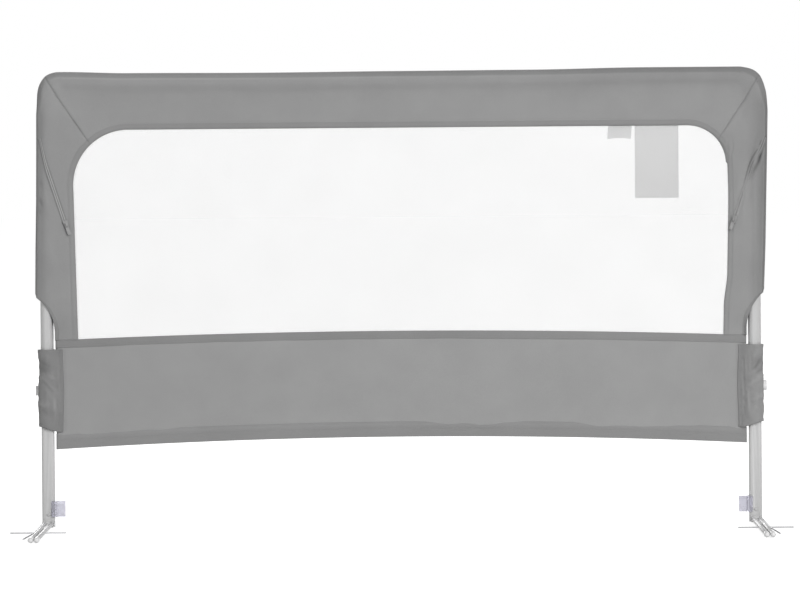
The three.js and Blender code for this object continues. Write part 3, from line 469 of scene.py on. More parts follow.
def creases(x, z, table):
    """Sum of soft ridges along straight lines: x1, z1, x2, z2, height and half width, all in millimetres."""
    total = np.zeros(np.broadcast(x, z).shape)
    for x1, z1, x2, z2, height, width in table:
        a, b = np.array([x1, z1]) * MM, np.array([x2, z2]) * MM
        run = b - a
        t = np.clip(((x - a[0]) * run[0] + (z - a[1]) * run[1]) / (run @ run), 0, 1)
        d = np.hypot(x - a[0] - t * run[0], z - a[1] - t * run[1])
        ends = np.sin(np.pi * np.clip(t, 0.04, 0.96)) ** 0.5
        total += height * MM * bell(d, width * MM) * ends
    return total


# Materials


class Nodes:
    """Builds a node tree: what a node is fed is a value or another node's output."""

    def __init__(self, tree):
        self.tree = tree

    def feed(self, socket, value):
        if isinstance(value, bpy.types.NodeSocket):
            self.tree.links.new(value, socket)
        else:
            socket.default_value = value

    def node(self, kind, inputs=None, **settings):
        """Adds a node and gives its outputs."""
        node = self.tree.nodes.new(kind)
        for key, value in settings.items():
            setattr(node, key, value)
        for key, value in (inputs or {}).items():
            self.feed(node.inputs[key], value)
        return node.outputs

    def math(self, operation, *values):
        return self.node("ShaderNodeMath", dict(enumerate(values)), operation=operation)[0]

    def seen(self):
        """1 for what the camera, gloss or a clear piece sees, and 0 for what only gives light."""
        path = self.node("ShaderNodeLightPath")
        either = self.math("MAXIMUM", path["Is Camera Ray"], path["Is Glossy Ray"])
        return self.math("MAXIMUM", either, path["Is Transmission Ray"])


class Shader(Nodes):
    """Builds a material round its surface shader."""

    def __init__(self, name, **surface):
        self.material = bpy.data.materials.new(name)
        self.material.use_nodes = True
        super().__init__(self.material.node_tree)
        self.surface = self.tree.nodes["Principled BSDF"]
        self.finish(**surface)

    def finish(self, **surface):
        """Feeds the surface's sockets, with _ for each space in their names."""
        for socket, value in surface.items():
            self.feed(self.surface.inputs[socket.replace("_", " ")], value)
        return self.material

    def mix(self, factor, a, b):
        return self.node("ShaderNodeMix", {0: factor, 2: a, 3: b})[0]

    def noise(self, vector, scale, detail=2, low_end=0.0, high_end=1.0):
        fac = self.node("ShaderNodeTexNoise", {"Vector": vector, "Scale": scale, "Detail": detail})[0]
        ends = {"Value": fac, "From Min": 0.3, "From Max": 0.7, "To Min": low_end, "To Max": high_end}
        return self.node("ShaderNodeMapRange", ends)[0]

    def scaled(self, vector, factor):
        return self.node("ShaderNodeVectorMath", {0: vector, "Scale": factor}, operation="SCALE")[0]

    def bump(self, height, distance, strength=1.0, **under):
        inputs = {"Height": height, "Distance": distance, "Strength": strength, **under}
        return self.node("ShaderNodeBump", inputs)[0]

    def place(self):
        return self.node("ShaderNodeTexCoord")["Object"]

    def cloth_place(self):
        return self.node("ShaderNodeUVMap", uv_map="weave")[0]

    def tone(self):
        return self.node("ShaderNodeAttribute", attribute_name="tone")["Fac"]


def woven(name, base, pitch, depth, variation=0.05, **surface):
    """Plain weave on the cloth's own UVs, with soft colour variation and a little fuzz."""
    shader = Shader(name, Roughness=0.88, **surface)
    thread = shader.scaled(shader.cloth_place(), 1 / pitch)
    ways = shader.node("ShaderNodeSeparateXYZ", {0: thread})[:2]
    turns = [shader.math("MULTIPLY", way, math.pi) for way in ways]
    warp, weft = (shader.math("ABSOLUTE", shader.math("SINE", turn)) for turn in turns)
    over = shader.node("ShaderNodeTexChecker", {"Vector": thread, "Scale": 1.0})["Fac"]
    height = shader.mix(over, warp, weft)
    place = shader.place()
    slub = shader.noise(place, 900, 1, -0.03, 0.03)
    patch = shader.noise(place, 22, 3, 1 - variation, 1 + variation)
    level = shader.math("ADD", shader.math("MULTIPLY_ADD", height, 0.12, 0.92), slub)
    # The tone attribute scales the colour, and with it the painted shade and highlights that the meshes carry
    level = shader.math("MULTIPLY", shader.math("MULTIPLY", level, patch), shader.tone())
    fuzz = shader.bump(shader.noise(place, 160, 3), 0.00012, 0.5)
    relief = shader.bump(height, depth, 0.6, Normal=fuzz)
    return shader.finish(Base_Color=shader.scaled(base, level), Normal=relief)


def netting_material(name, base, pitch, thread):
    """White knitted net: two crossing sets of threads, with open holes between them."""
    shader = Shader(name, Roughness=0.75)
    apart = shader.node("ShaderNodeSeparateXYZ", {0: shader.scaled(shader.cloth_place(), 1 / pitch)})
    near = []
    for operation in ("ADD", "SUBTRACT"):
        place = shader.math("FRACT", shader.math(operation, apart[0], apart[1]))
        near.append(shader.math("ABSOLUTE", shader.math("SUBTRACT", place, 0.5)))
    furthest = shader.math("MAXIMUM", *near)
    ends = {"Value": furthest, "From Min": 0.5 - thread * 1.15, "From Max": 0.5 - thread * 0.85}
    fibre = shader.node("ShaderNodeMapRange", ends)[0]
    patch = shader.noise(shader.place(), 14, 2, 0.97, 1.03)
    relief = shader.bump(furthest, 0.0002, 0.4)
    return shader.finish(Base_Color=shader.scaled(base, patch), Alpha=fibre, Normal=relief)


def painted(name, base, roughness, grain, depth, variation=0.02, **surface):
    """Paint or moulded plastic with an orange-peel grain and uneven gloss."""
    shader = Shader(name, **surface)
    place = shader.place()
    level = shader.noise(place, 30, 3, 1 - variation, 1 + variation)
    level = shader.math("MULTIPLY_ADD", shader.noise(place, 420, 4, -0.5, 0.5), variation, level)
    return shader.finish(
        Base_Color=shader.scaled(base, level),
        Roughness=shader.noise(place, 60, 4, roughness - 0.06, roughness + 0.08),
        Normal=shader.bump(shader.noise(place, grain, 2), depth, 0.5),
    )


def plated(name, base):
    """Zinc-plated steel, drawn lengthwise, with dull patches."""
    shader = Shader(name, Metallic=0.7)
    place = shader.place()
    drawn = shader.node("ShaderNodeMapping", {"Vector": place, "Scale": (2400.0, 60.0, 2400.0)})[0]
    streak = shader.noise(drawn, 1.0, 3, -0.05, 0.05)
    level = shader.math("ADD", shader.noise(place, 70, 4, 0.9, 1.06), streak)
    return shader.finish(
        Base_Color=shader.scaled(base, level),
        Roughness=shader.noise(place, 130, 4, 0.42, 0.6),
        Normal=shader.bump(streak, 0.00004, 0.6),
    )


def make_materials(finish, netting):
    """Every finish: by its slot name in the record, or by its own name where a fitting differs."""
    return {
        "tube_paint": painted("light_grey_powder_coat", finish.paint, 0.42, 700, 0.00006),
        "grey_plastic": painted("moulded_grey_plastic", finish.plastic, 0.52, 2600, 0.00003),
        "steel": plated("zinc_plated_steel", finish.plated),
        # A lighter copy of the grey plastic for the release buttons: partly their own lighter look, partly
        # painted light where their seen sides sit in shade
        "lit_button_plastic": painted("lit_button_plastic", [1.3 * c for c in finish.plastic], 0.5, 2600, 0.00003),
        "dull_steel": painted("dull_rivet_steel", [0.9 * c for c in finish.paint], 0.7, 900, 0.00004),
        "grey_fabric": woven("mid_grey_weave", finish.cloth, 0.55 * MM, 0.0001, 0.03, Sheen_Weight=0.15),
        "sleeve_fabric": woven(
            "darker_grey_weave", finish.sleeve_cloth, 0.5 * MM, 0.0001, 0.06, Sheen_Weight=0.15
        ),
        "netting": netting_material("white_netting", finish.net, netting.pitch, netting.thread),
        "woven_tape": woven("blank_woven_tape", finish.tape, 0.35 * MM, 0.00005, 0.02),
        "zip_nylon": painted("zip_coil_nylon", finish.coil, 0.45, 1500, 0.00003),
        "zip_metal": painted("dark_enamel", finish.slider, 0.55, 1200, 0.00002),
        "grey_vinyl": painted("dipped_vinyl", finish.vinyl, 0.4, 500, 0.00005),
        "lilac_plastic": painted(
            "translucent_lilac_plastic", finish.lilac, 0.3, 900, 0.00002, Transmission_Weight=0.6, IOR=1.3
        ),
    }


MATERIALS = {}


def material(slot):
    """The finish of a slot of the record, made when it is first asked for."""
    if not MATERIALS:
        rail = bpy.context.scene.bed_rail
        MATERIALS.update(make_materials(rail.finish, rail.netting))
    return MATERIALS[slot]


# Lines of the cover, the window and the panel


def beyond(x, z, half, top, bend):
    """Distance outwards from a frame line with rounded top corners."""
    x = np.abs(x)
    corner = np.hypot(x - (half - bend), z - (top - bend)) - bend
    in_corner = (x > half - bend) & (z > top - bend)
    return np.where(in_corner, corner, np.maximum(x - half, z - top))


def on_bend(half, top, bend, turn):
    """The point of a rounded top corner at this turn, in degrees from the upright side."""
    turn = math.radians(turn)
    return half - bend + bend * math.cos(turn), top - bend + bend * math.sin(turn)


def window_bend(x):
    return np.where(np.asarray(x) < 0, *WINDOW_BENDS)


def window_half(x, z):
    bend = window_bend(x)
    fall = np.clip((WINDOW_TOP - bend - z) / (WINDOW_TOP - bend - COVER_FOOT), 0, 1)
    bulge = ramp(300, 350, z) * ramp(560, 440, z) * (np.asarray(x) > 0)
    return WINDOW_X - WINDOW_TAPER * fall + WINDOW_BULGE * bulge


def beyond_tube(x, z):
    return beyond(x, z, UPRIGHT_X, TUBE_TOP, TUBE_BEND)


def beyond_window(x, z):
    return beyond(x, z, window_half(x, z), WINDOW_TOP, window_bend(x))


def beyond_cover(x, z):
    return np.minimum(beyond(x, z, COVER_X, COVER_TOP, COVER_BEND), 0)


def cover_depth(x, z):
    """Half depth of the cover at a place in the rail's plane, without its hems and seams."""
    tube, outer, window = beyond_tube(x, z), beyond_cover(x, z), beyond_window(x, z)
    flat = 1.5 * MM + 0.036 * np.clip(window, 0, None)
    lean = 1 / (1 + (np.clip(-tube, 0, None) / (12.4 * MM)) ** 3.2)
    tent = np.clip(window / np.maximum(window - tube, 1e-9), 0, 1)
    upper = ramp(545, 590, z)
    inner = flat + (COVER_DEPTH - flat) * lerp(tent**0.9, lean, upper)
    fraction = np.clip(tube / np.maximum(tube - outer, 1e-9), 0, 1)
    outside = COVER_DEPTH * np.sqrt(1 - fraction**2)
    depth = np.where(tube > 0, outside, inner)
    foot = ramp(302, 266, z) * ramp(-9, -16, tube)
    return lerp(depth, 1.9 * MM, foot)


def panel_top(x):
    return PANEL_TOP + PANEL_TOP_RISE * (1 - (x / PANEL_X) ** 2)


def panel_foot(x):
    return PANEL_FOOT + PANEL_FOOT_RISE * (1 - (x / PANEL_X) ** 2) + PANEL_FOOT_SKEW * x / PANEL_X


# Turns of the stations round a top corner in degrees, closest at its seam
CORNER_TURNS = (
    *(4, 9, 14, 19, 24, 29, 33, 37, 40, 42, 43.4, 44.3, 45),
    *(45.7, 46.6, 48, 50, 53, 57, 61, 66, 71, 76, 81, 86, 90),
)
# Levels below the hem's curve, and the step that probes the window's direction
FOOT_LEVELS = (COVER_FOOT, 263 * MM, 265.5 * MM, 268.5 * MM)
PROBE = 1.6 * MM


def side_stations(side):
    """Window and outer edge points of a side, from its foot to the middle of the top, and its corner row."""
    inner, outer = [], []
    bend = WINDOW_BENDS[side > 0]
    window_turn, outer_turn = SEAM_TURNS[side > 0]

    def add(z, *outer_point):
        inner.append((float(window_half(side, z)), z))
        outer.append(outer_point)

    a, b, c = (np.array(p) for p in HEM_CURVE)
    for z in FOOT_LEVELS:
        add(z, c[0], z)
    for t in np.linspace(1, 0.0377, 20):
        x, start = (1 - t) ** 2 * a + 2 * t * (1 - t) * b + t**2 * c
        add(start, min(x, COVER_X), start)
    for t in np.linspace(0, 1, 66)[1:]:
        add(lerp(start, WINDOW_TOP - bend, t), COVER_X, lerp(start, COVER_TOP - COVER_BEND, t))
    corner = len(inner) + CORNER_TURNS.index(45)
    for turn in CORNER_TURNS:
        skew = math.sin(math.radians(2 * turn))
        inner.append(on_bend(WINDOW_X, WINDOW_TOP, bend, turn + window_turn * skew))
        outer.append(on_bend(COVER_X, COVER_TOP, COVER_BEND, turn + outer_turn * skew))
    for t in np.linspace(0, 1, 118)[1:]:
        inner.append((lerp(WINDOW_X - bend, 0, t), WINDOW_TOP))
        outer.append((lerp(COVER_X - COVER_BEND, 0, t), COVER_TOP))
    mirror = np.array((side, 1))
    return np.array(inner) * mirror, np.array(outer) * mirror, corner


def cover_stations():
    """Stations from the right foot over the top to the left foot: ends, direction, length and corner rows."""
    inner, outer, corner = side_stations(1)
    far_inner, far_outer, _ = side_stations(-1)
    inner = np.vstack([inner, far_inner[-2::-1]])
    outer = np.vstack([outer, far_outer[-2::-1]])
    full = np.linalg.norm(outer - inner, axis=1)[:, None]
    return inner, outer, (outer - inner) / full, full, corner, len(inner) - 1 - corner


def window_rate(inner, ahead):
    """How much of a step along each station leads straight away from the window's edge."""
    probe = inner + ahead * PROBE
    return np.clip(beyond_window(probe[:, 0], probe[:, 1]) / PROBE, 0.3, 1)[:, None]


def settled(x, z):
    """Where the cloth's outer sides lie on the frame: the cover hangs a little to the right at its top."""
    x, z = np.asarray(x, float), np.asarray(z, float)
    height, *shifts = np.array(OUTLINE_SHIFTS).T * MM
    left, right = (np.interp(z, height, shift) for shift in shifts)
    out = smooth(UPRIGHT_X - 4 * MM, COVER_X, np.abs(x))
    return x + np.where(x < 0, left, right) * out


# Where the top edge changes its level: start and end along the rail, and the rise, in millimetres
TOP_EDGE = (
    (-620, -610, 2.2),
    (-470, -376, -2.3),
    (-376, -200, -0.8),
    (-181, 0, 0.8),
    (0, 182, 0.4),
    (182, 340, 2.1),
    (482, 497, 1.8),
)
# Distances of the grid's columns from the window's edge, and the number of columns beyond them
EDGE_COLUMNS = np.array((0, 0.35, 0.9, 1.8, 3.2, 4.8, 6.2, 7.0, 7.8, 8.2, 8.6, 9.4, 10.8)) * MM
OUTER_COLUMNS = 24
# Folds that stand out, then painted shade and highlights of creases that only show as light or dark, as
# creases() takes them
COVER_CREASES = (
    (-497, 614, -505, 580, 0.7, 2.2),
    (-484, 622, -470, 605, 0.6, 3.0),
    (-480, 600, -476, 585, 0.5, 3.5),
    (-506, 536, -474, 440, -0.5, 9),
    (-503, 500, -488, 440, 0.5, 4),
    (-490, 400, -478, 350, 0.4, 5),
    (498, 612, 506, 580, 0.6, 2.5),
    (470, 610, 478, 590, 0.4, 4),
    (507, 540, 490, 486, 0.9, 2.4),
    (500, 545, 484, 486, -0.8, 3),
    (478, 500, 466, 440, 0.6, 5),
    (490, 470, 484, 380, 0.7, 6),
    (470, 430, 466, 380, 0.4, 6),
    (462, 520, 458, 400, 0.4, 4),
    (-462, 470, -458, 420, 0.3, 4),
    (497, 530, 492, 400, 0.6, 3),
    (486, 500, 477, 400, 0.6, 2.5),
    (505, 480, 503, 370, -0.6, 2.4),
    (-508, 446, -498, 438, -0.9, 3),
    (-509, 462, -499, 452, -0.7, 2.6),
    (40, 612, 90, 604, 0.3, 6),
    (-300, 611, -240, 605, 0.3, 7),
    (300, 600, 330, 575, 0.3, 8),
)
COVER_CREASE_SHADING = (
    (-503, 484, -499, 474, -1.4, 4),
    (-507, 460, -499, 448, -3.2, 2.8),
    (-507, 444, -503, 438, -1.8, 2.4),
    (-470, 452, -463, 400, -0.5, 5),
    (505, 500, 506, 440, -0.8, 2),
    (497, 470, 496, 380, 0.5, 1.6),
    (490, 440, 489, 360, 0.4, 1.6),
    (511, 540, 502, 517, -5.2, 1.9),
    (504.5, 523, 500, 502, -7.0, 2.0),
    (501, 505, 493, 489, -4.4, 2.1),
    (495, 494, 490, 478, -1.4, 2.4),
    (508, 526, 502, 500, 1.6, 1.8),
    (478, 462, 470, 432, -0.8, 3.0),
)


def front_tones(x, z, edge_off, ridge, upper, wider):
    """How much lighter or darker the cover's front is painted: painted shade on its rim, painted shade and
    highlights down its outer sides, a painted highlight along the top ridge and beside the piping, painted
    shade at its right end, and painted crease shading.
    """
    rim_width = lerp(2.4 * MM, lerp(6.9 * MM, 7.8 * MM, wider), upper)
    rim = smooth(-rim_width - 0.5 * MM, -rim_width + 0.5 * MM, edge_off)
    to_right = ramp(-20, 20, x)
    rim_shade = lerp(lerp(0.02, 0.18, to_right), lerp(0.11, 0.17, ramp(-150, -20, x)), upper)
    ridge_shading = 0.13 - 0.07 * ramp(-100, 100, x) - 0.07 * ramp(150, 340, x)
    piping_highlight = bell(edge_off + 3.5 * MM, 0.7 * MM)
    near_left = 0.05 * ramp(-26, -12, edge_off) - 0.13 * ramp(-10, -3, edge_off)
    side_shading = lerp(near_left, 0.27 * ramp(-29, -4, edge_off), to_right)
    side_shading = side_shading - 0.05 * to_right * ramp(430, 460, x) * ramp(480, 400, z)
    shaded = 0.09 * ramp(150, 330, x) * ramp(-28, -16, edge_off) * upper
    crease_shading = 0.08 * creases(x, z, COVER_CREASE_SHADING) / MM
    return ridge_shading * ridge - rim_shade * rim + (0.05 * piping_highlight - side_shading) * (1 - upper) - shaded + crease_shading


def there_and_back(front, back):
    """Rows that run outwards along the front and return along the back."""
    return np.hstack([front, back[:, ::-1]])


def cover_grid(cover):
    """Front and back points of the whole cover, row by row, with the mouths at its feet."""
    inner, outer, ahead, full, first, last = cover_stations()
    edge = EDGE_COLUMNS / window_rate(inner, ahead)
    spread = 1 - (1 - np.arange(1, OUTER_COLUMNS + 1) / OUTER_COLUMNS) ** 1.7
    reach = np.hstack([edge, lerp(edge[:, -1:], full, spread)])
    x = inner[:, :1] + ahead[:, :1] * reach
    z = inner[:, 1:] + ahead[:, 1:] * reach
    window, edge_off = beyond_window(x, z), beyond(x, z, COVER_X, COVER_TOP, COVER_BEND)
    lip = np.sqrt(1 - (1 - np.clip(window / (1.3 * MM), 0, 1)) ** 2)
    hem = 1 - smooth(cover.hem_width - 0.2 * MM, cover.hem_width + 0.5 * MM, window)
    hem = hem * lerp(0.35, 1, ramp(470, 530, z))
    groove = bell(window - HEM_SEAM, 0.5 * MM)
    depth = cover_depth(x, z) * np.clip(lip, 0.12, 1) + (cover.hem_rise * hem - 0.22 * MM * groove) * lip
    # Painted shade: sides darkens the left side band, where less light falls, and brink darkens the window's
    # very edge, where the cloth turns down. The tone is also darker over the window hem and along the stitch
    # groove.
    sides = ramp(440, 475, np.abs(x)) * ramp(600, 560, z)
    brink = 1 - ramp(1.5, 4, window)
    tone = 0.955 - 0.045 * sides * (x < 0) - 0.10 * hem - 0.05 * groove - 0.06 * brink
    for row, seam_tone in ((first, 0.08), (last, 0.14)):
        a, b = inner[row], outer[row]
        n = np.array((-(b - a)[1], (b - a)[0])) / np.linalg.norm(b - a)
        off = np.abs((x - a[0]) * n[0] + (z - a[1]) * n[1])
        near = (np.sign(a[0]) == np.sign(x)) * ramp(1.5, 6, depth)
        dip = bell(off, cover.seam_width) * near * ramp(0, 3, window)
        depth = depth - cover.seam_depth * dip + 0.35 * MM * bell(off - 3.2 * MM, 1.4 * MM) * near
        tone = tone - seam_tone * dip * ramp(4, 24, -beyond_cover(x, z))
    upper, wider = ramp(575, 605, z), ramp(-260, -120, x)
    top_run = smooth(WINDOW_TOP, WINDOW_TOP + 30 * MM, z) * (np.abs(x) < UPRIGHT_X - 8 * MM)
    ridge = bell(edge_off + lerp(8.3 * MM, 9.2 * MM, wider), 1.0 * MM) * top_run
    mouth = (beyond_cover(outer[:, 0], outer[:, 1]) < -0.2 * MM) & (outer[:, 1] < 400 * MM)
    from_mouth = np.hypot(x - outer[:, :1], z - outer[:, 1:])
    foot_hem = (1 - ramp(4.6, 5.2, from_mouth)) * mouth[:, None]
    depth = depth + 0.4 * MM * foot_hem
    loose = ramp(2, 14, window) * ramp(0, 5, depth)
    relief = cover.ripple * (uneven(x, 0, z, 0.05, 1) + 0.5 * uneven(x, 0, z, 0.018, 2))
    relief = relief + creases(x, z, COVER_CREASES)
    front = depth + loose * relief + 0.55 * MM * ridge
    back = depth + loose * cover.ripple * 1.6 * uneven(x, 1, z, 0.045, 3)
    front[~mouth, -1] = back[~mouth, -1] = 0
    front_tone = tone + front_tones(x, z, edge_off, ridge, upper, wider) - 0.15 * foot_hem
    # Painted shade and highlights that follow the ripples and folds: lighter where the cloth stands out,
    # darker in its hollows
    front_tone = front_tone + 0.05 * loose * np.clip(relief / MM, -1.5, 1.5)
    lift = sum(rise * MM * ramp(start, end, x) for start, end, rise in TOP_EDGE)
    lift = lift * smooth(WINDOW_TOP + 20 * MM, COVER_TOP, z) * (beyond_tube(x, z) > -14 * MM)
    x, z = settled(x, z), z + lift
    y = there_and_back(PLANE_Y - front, PLANE_Y + back)
    points = np.stack([there_and_back(x, x), y, there_and_back(z, z)], 2)
    middle = lengths_along((inner + outer) / 2)[:, None] * np.ones(points.shape[1])
    uv = np.stack([middle, there_and_back(reach, 2 * full - reach)], 2)
    return points, uv, there_and_back(front_tone, tone), first, last


def cover_front(x, z):
    """Front of the cover at a place in the rail's plane."""
    return PLANE_Y - cover_depth(np.asarray(x, float), np.asarray(z, float))


# Repeats


def repeat_tree(name, segments, rings, axis):
    """Geometry Nodes: a small rounded piece at every pitch along the lines, all made real."""
    tree = bpy.data.node_groups.new(name, "GeometryNodeTree")
    add_socket = tree.interface.new_socket
    add_socket("Lines", in_out="INPUT", socket_type="NodeSocketGeometry")
    for label in ("Pitch", "Length", "Width", "Height"):
        add_socket(label, in_out="INPUT", socket_type="NodeSocketFloat")
    add_socket("Material", in_out="INPUT", socket_type="NodeSocketMaterial")
    add_socket("Pieces", in_out="OUTPUT", socket_type="NodeSocketGeometry")
    add = Nodes(tree).node
    given = add("NodeGroupInput")
    curve = add("GeometryNodeMeshToCurve", {"Mesh": given["Lines"]})["Curve"]
    spacing = {"Curve": curve, "Length": given["Pitch"]}
    even = add("GeometryNodeResampleCurve", spacing, mode="LENGTH")["Curve"]
    along = add("GeometryNodeInputTangent")["Tangent"]
    turn = add("FunctionNodeAlignRotationToVector", {"Vector": along}, axis=axis)["Rotation"]
    bead = add("GeometryNodeMeshUVSphere", {"Segments": segments, "Rings": rings, "Radius": 0.5})["Mesh"]
    sizes = {"X": given["Length"], "Y": given["Width"], "Z": given["Height"]}
    scale = add("ShaderNodeCombineXYZ", sizes)["Vector"]
    copies = {"Points": even, "Instance": bead, "Rotation": turn, "Scale": scale}
    placed = add("GeometryNodeInstanceOnPoints", copies)["Instances"]
    real = add("GeometryNodeRealizeInstances", {"Geometry": placed})["Geometry"]
    soft = add("GeometryNodeSetShadeSmooth", {"Geometry": real})["Geometry"]
    coated = add("GeometryNodeSetMaterial", {"Geometry": soft, "Material": given["Material"]})["Geometry"]
    add("NodeGroupOutput", {"Pieces": coated})
    return tree


def repeat_along(name, lines, tree, finish, **sizes):
    """A plain mesh of the tree's pieces along lines of points."""
    points, edges = [], []
    for line in lines:
        first = len(points)
        points += [tuple(p) for p in line]
        edges += [(i, i + 1) for i in range(first, len(points) - 1)]
    mesh = bpy.data.meshes.new(name)
    mesh.from_pydata(points, edges, [])
    obj = bpy.data.objects.new(name, mesh)
    bpy.context.collection.objects.link(obj)
    nodes = obj.modifiers.new("repeat", "NODES")
    nodes.node_group = tree
    keys = {item.name: item.identifier for item in tree.interface.items_tree if item.in_out == "INPUT"}
    for label, value in {**sizes, "Material": finish}.items():
        nodes[keys[label]] = value
    apply_modifiers(obj)
    if len(obj.data.polygons) == 0:
        raise RuntimeError(f"{name} came out empty")
    return obj


def stitch(name, lines, body):
    """A row of stitches along each line."""
    seam = bpy.context.scene.bed_rail.seam
    tree = bpy.data.node_groups.get("stitch_row") or repeat_tree("stitch_row", 6, 4, "X")
    sizes = {"Pitch": seam.pitch, "Length": seam.length, "Width": 2 * seam.radius, "Height": 2 * seam.radius}
    row = repeat_along(name, lines, tree, thread_material(), **sizes)
    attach(row, body)


def thread_material():
    known = bpy.data.materials.get("sewing_thread")
    if known:
        return known
    base = [0.92 * c for c in bpy.context.scene.bed_rail.finish.cloth]
    return painted("sewing_thread", base, 0.7, 4000, 0.00003, 0.05)


# Pieces


# Fittings with a finish of their own (the buttons' lighter plastic is partly painted light), and the slots of
# what is made anew here
OWN_FINISHES = {"foot_rivet": "dull_steel", "release_button": "lit_button_plastic"}
REMADE_SLOTS = ("grey_fabric", "sleeve_fabric", "netting", "woven_tape", "zip_nylon")


class DressFittings(bpy.types.Operator):
    """Gives the rigid pieces of the frame soft edges and their finishes"""

    bl_idname = "rail.dress_fittings"
    bl_label = "Dress fittings"

    def execute(self, context):
        slots = {part["node"]: part["material_slot"] for part in frame["record"]["subparts"]}
        for name, obj in frame["nodes"].items():
            slot = slots[name]
            obj.data.materials.clear()
            obj.data.materials.append(material(OWN_FINISHES.get(name.rsplit("_", 1)[0], slot)))
            if slot in REMADE_SLOTS:
                continue
            obj.data.polygons.foreach_set("use_smooth", [True] * len(obj.data.polygons))
            join = obj.modifiers.new("weld", "WELD")
            join.merge_threshold = 0.004 * MM
            plain = obj.modifiers.new("plain", "DECIMATE")
            plain.decimate_type = "DISSOLVE"
            plain.angle_limit = math.radians(1.5)
            edge = obj.modifiers.new("edge", "BEVEL")
            edge.limit_method = "ANGLE"
            edge.angle_limit = math.radians(38)
            edge.width = 0.25 * MM
            edge.segments = 2
            edge.harden_normals = True
        return {"FINISHED"}


class MakeCover(bpy.types.Operator):
    """Makes the fabric cover's top and side bands, with their window hem, corner seams and open feet"""

    bl_idname = "rail.make_cover"
    bl_label = "Make cover"

    def execute(self, context):
        cover = context.scene.bed_rail.cover
        points, uv, tones, first, last = cover_grid(cover)
        columns = points.shape[1]
        between_sides = columns // 2 - 1
        for name, start, end in (
            ("cover_right", 0, first),
            ("cover_top", first, last),
            ("cover_left", last, len(points) - 1),
        ):
            rows = slice(start, end + 1)
            faces = quads(end + 1 - start, columns, closed=True, keep=lambda i, j: j != between_sides)
            looks = {"uv": uv[rows], "tone": tones[rows], "wall": cover.wall, "stands_for": [name]}
            band = piece(name + "_band", points[rows], faces, "grey_fabric", "guard", mend=weld, **looks)
        return {"FINISHED"}


PIPING_FOOT = 322 * MM
PIPING_INSET = 0.2 * MM
PIPING_TONE = 0.62


class MakePiping(bpy.types.Operator):
    """Makes the cord that edges the outer sides of the cover"""

    bl_idname = "rail.make_piping"
    bl_label = "Make piping"

    def execute(self, context):
        radius = context.scene.bed_rail.cover.piping_radius
        half, top, bend = (edge - PIPING_INSET for edge in (COVER_X, COVER_TOP, COVER_BEND))
        straight = [(half, z) for z in np.linspace(PIPING_FOOT, COVER_TOP - COVER_BEND, 70)]
        corner = [on_bend(half, top, bend, turn) for turn in np.linspace(4, 60, 14)]
        for side, sign in SIDES:
            route = [(float(settled(sign * x, z)), PLANE_Y, z) for x, z in straight + corner]
            rings, faces, uv = tube_mesh(route, radius, 10, taper=2 * radius)
            tone = [PIPING_TONE] * len(rings)
            piece(f"edge_piping_{side}", rings, faces, "grey_fabric", "guard", uv=uv, tone=tone)
        return {"FINISHED"}


class MakeNetting(bpy.types.Operator):
    """Makes the netting that is sewn into the window"""

    bl_idname = "rail.make_netting"
    bl_label = "Make netting"

    def execute(self, context):
        net = context.scene.bed_rail.netting
        top = WINDOW_TOP + 1.2 * MM
        across, up = np.linspace(-1, 1, 190), np.linspace(0, 1, 64)[:, None]
        level = lerp(PANEL_TOP + 2 * MM, top, up)
        halves = []
        for side, bend in zip((-1, 1), WINDOW_BENDS):
            above = np.clip(level - (WINDOW_TOP - bend), 0, bend)
            halves.append(window_half(side, level) - bend + np.sqrt(bend**2 - above**2) + 1.0 * MM)
        left, right = halves
        x = lerp(-left, right, (across + 1) / 2)
        z = lerp(panel_top(x) - 4 * MM, top, up)
        free = smooth(0, 0.04, 1 - np.abs(across)) * np.sin(np.pi * up) ** 0.5
        y = PLANE_Y + net.ripple * uneven(x, 0, z, 0.16, 5) * free
        looks = {"uv": np.stack([x, z], 2), "wall": net.wall, "stands_for": ["mesh_window"]}
        sheet = piece("window_netting", np.stack([x, y, z], 2), quads(*x.shape), "netting", "guard", **looks)
        return {"FINISHED"}


def panel_face(x, z, ripple):
    """How far the panel's front lies in front of its middle plane."""
    fraction = np.clip((z - panel_foot(x)) / (panel_top(x) - panel_foot(x)), 0, 1)
    free = np.sin(np.pi * fraction) ** 0.6 * ramp(0, 25, PANEL_X - np.abs(x) - 10 * MM)
    wave = uneven(x, 0, z, 0.13, 8) + 0.5 * uneven(x, 0, z, 0.05, 9)
    return ripple * wave * free


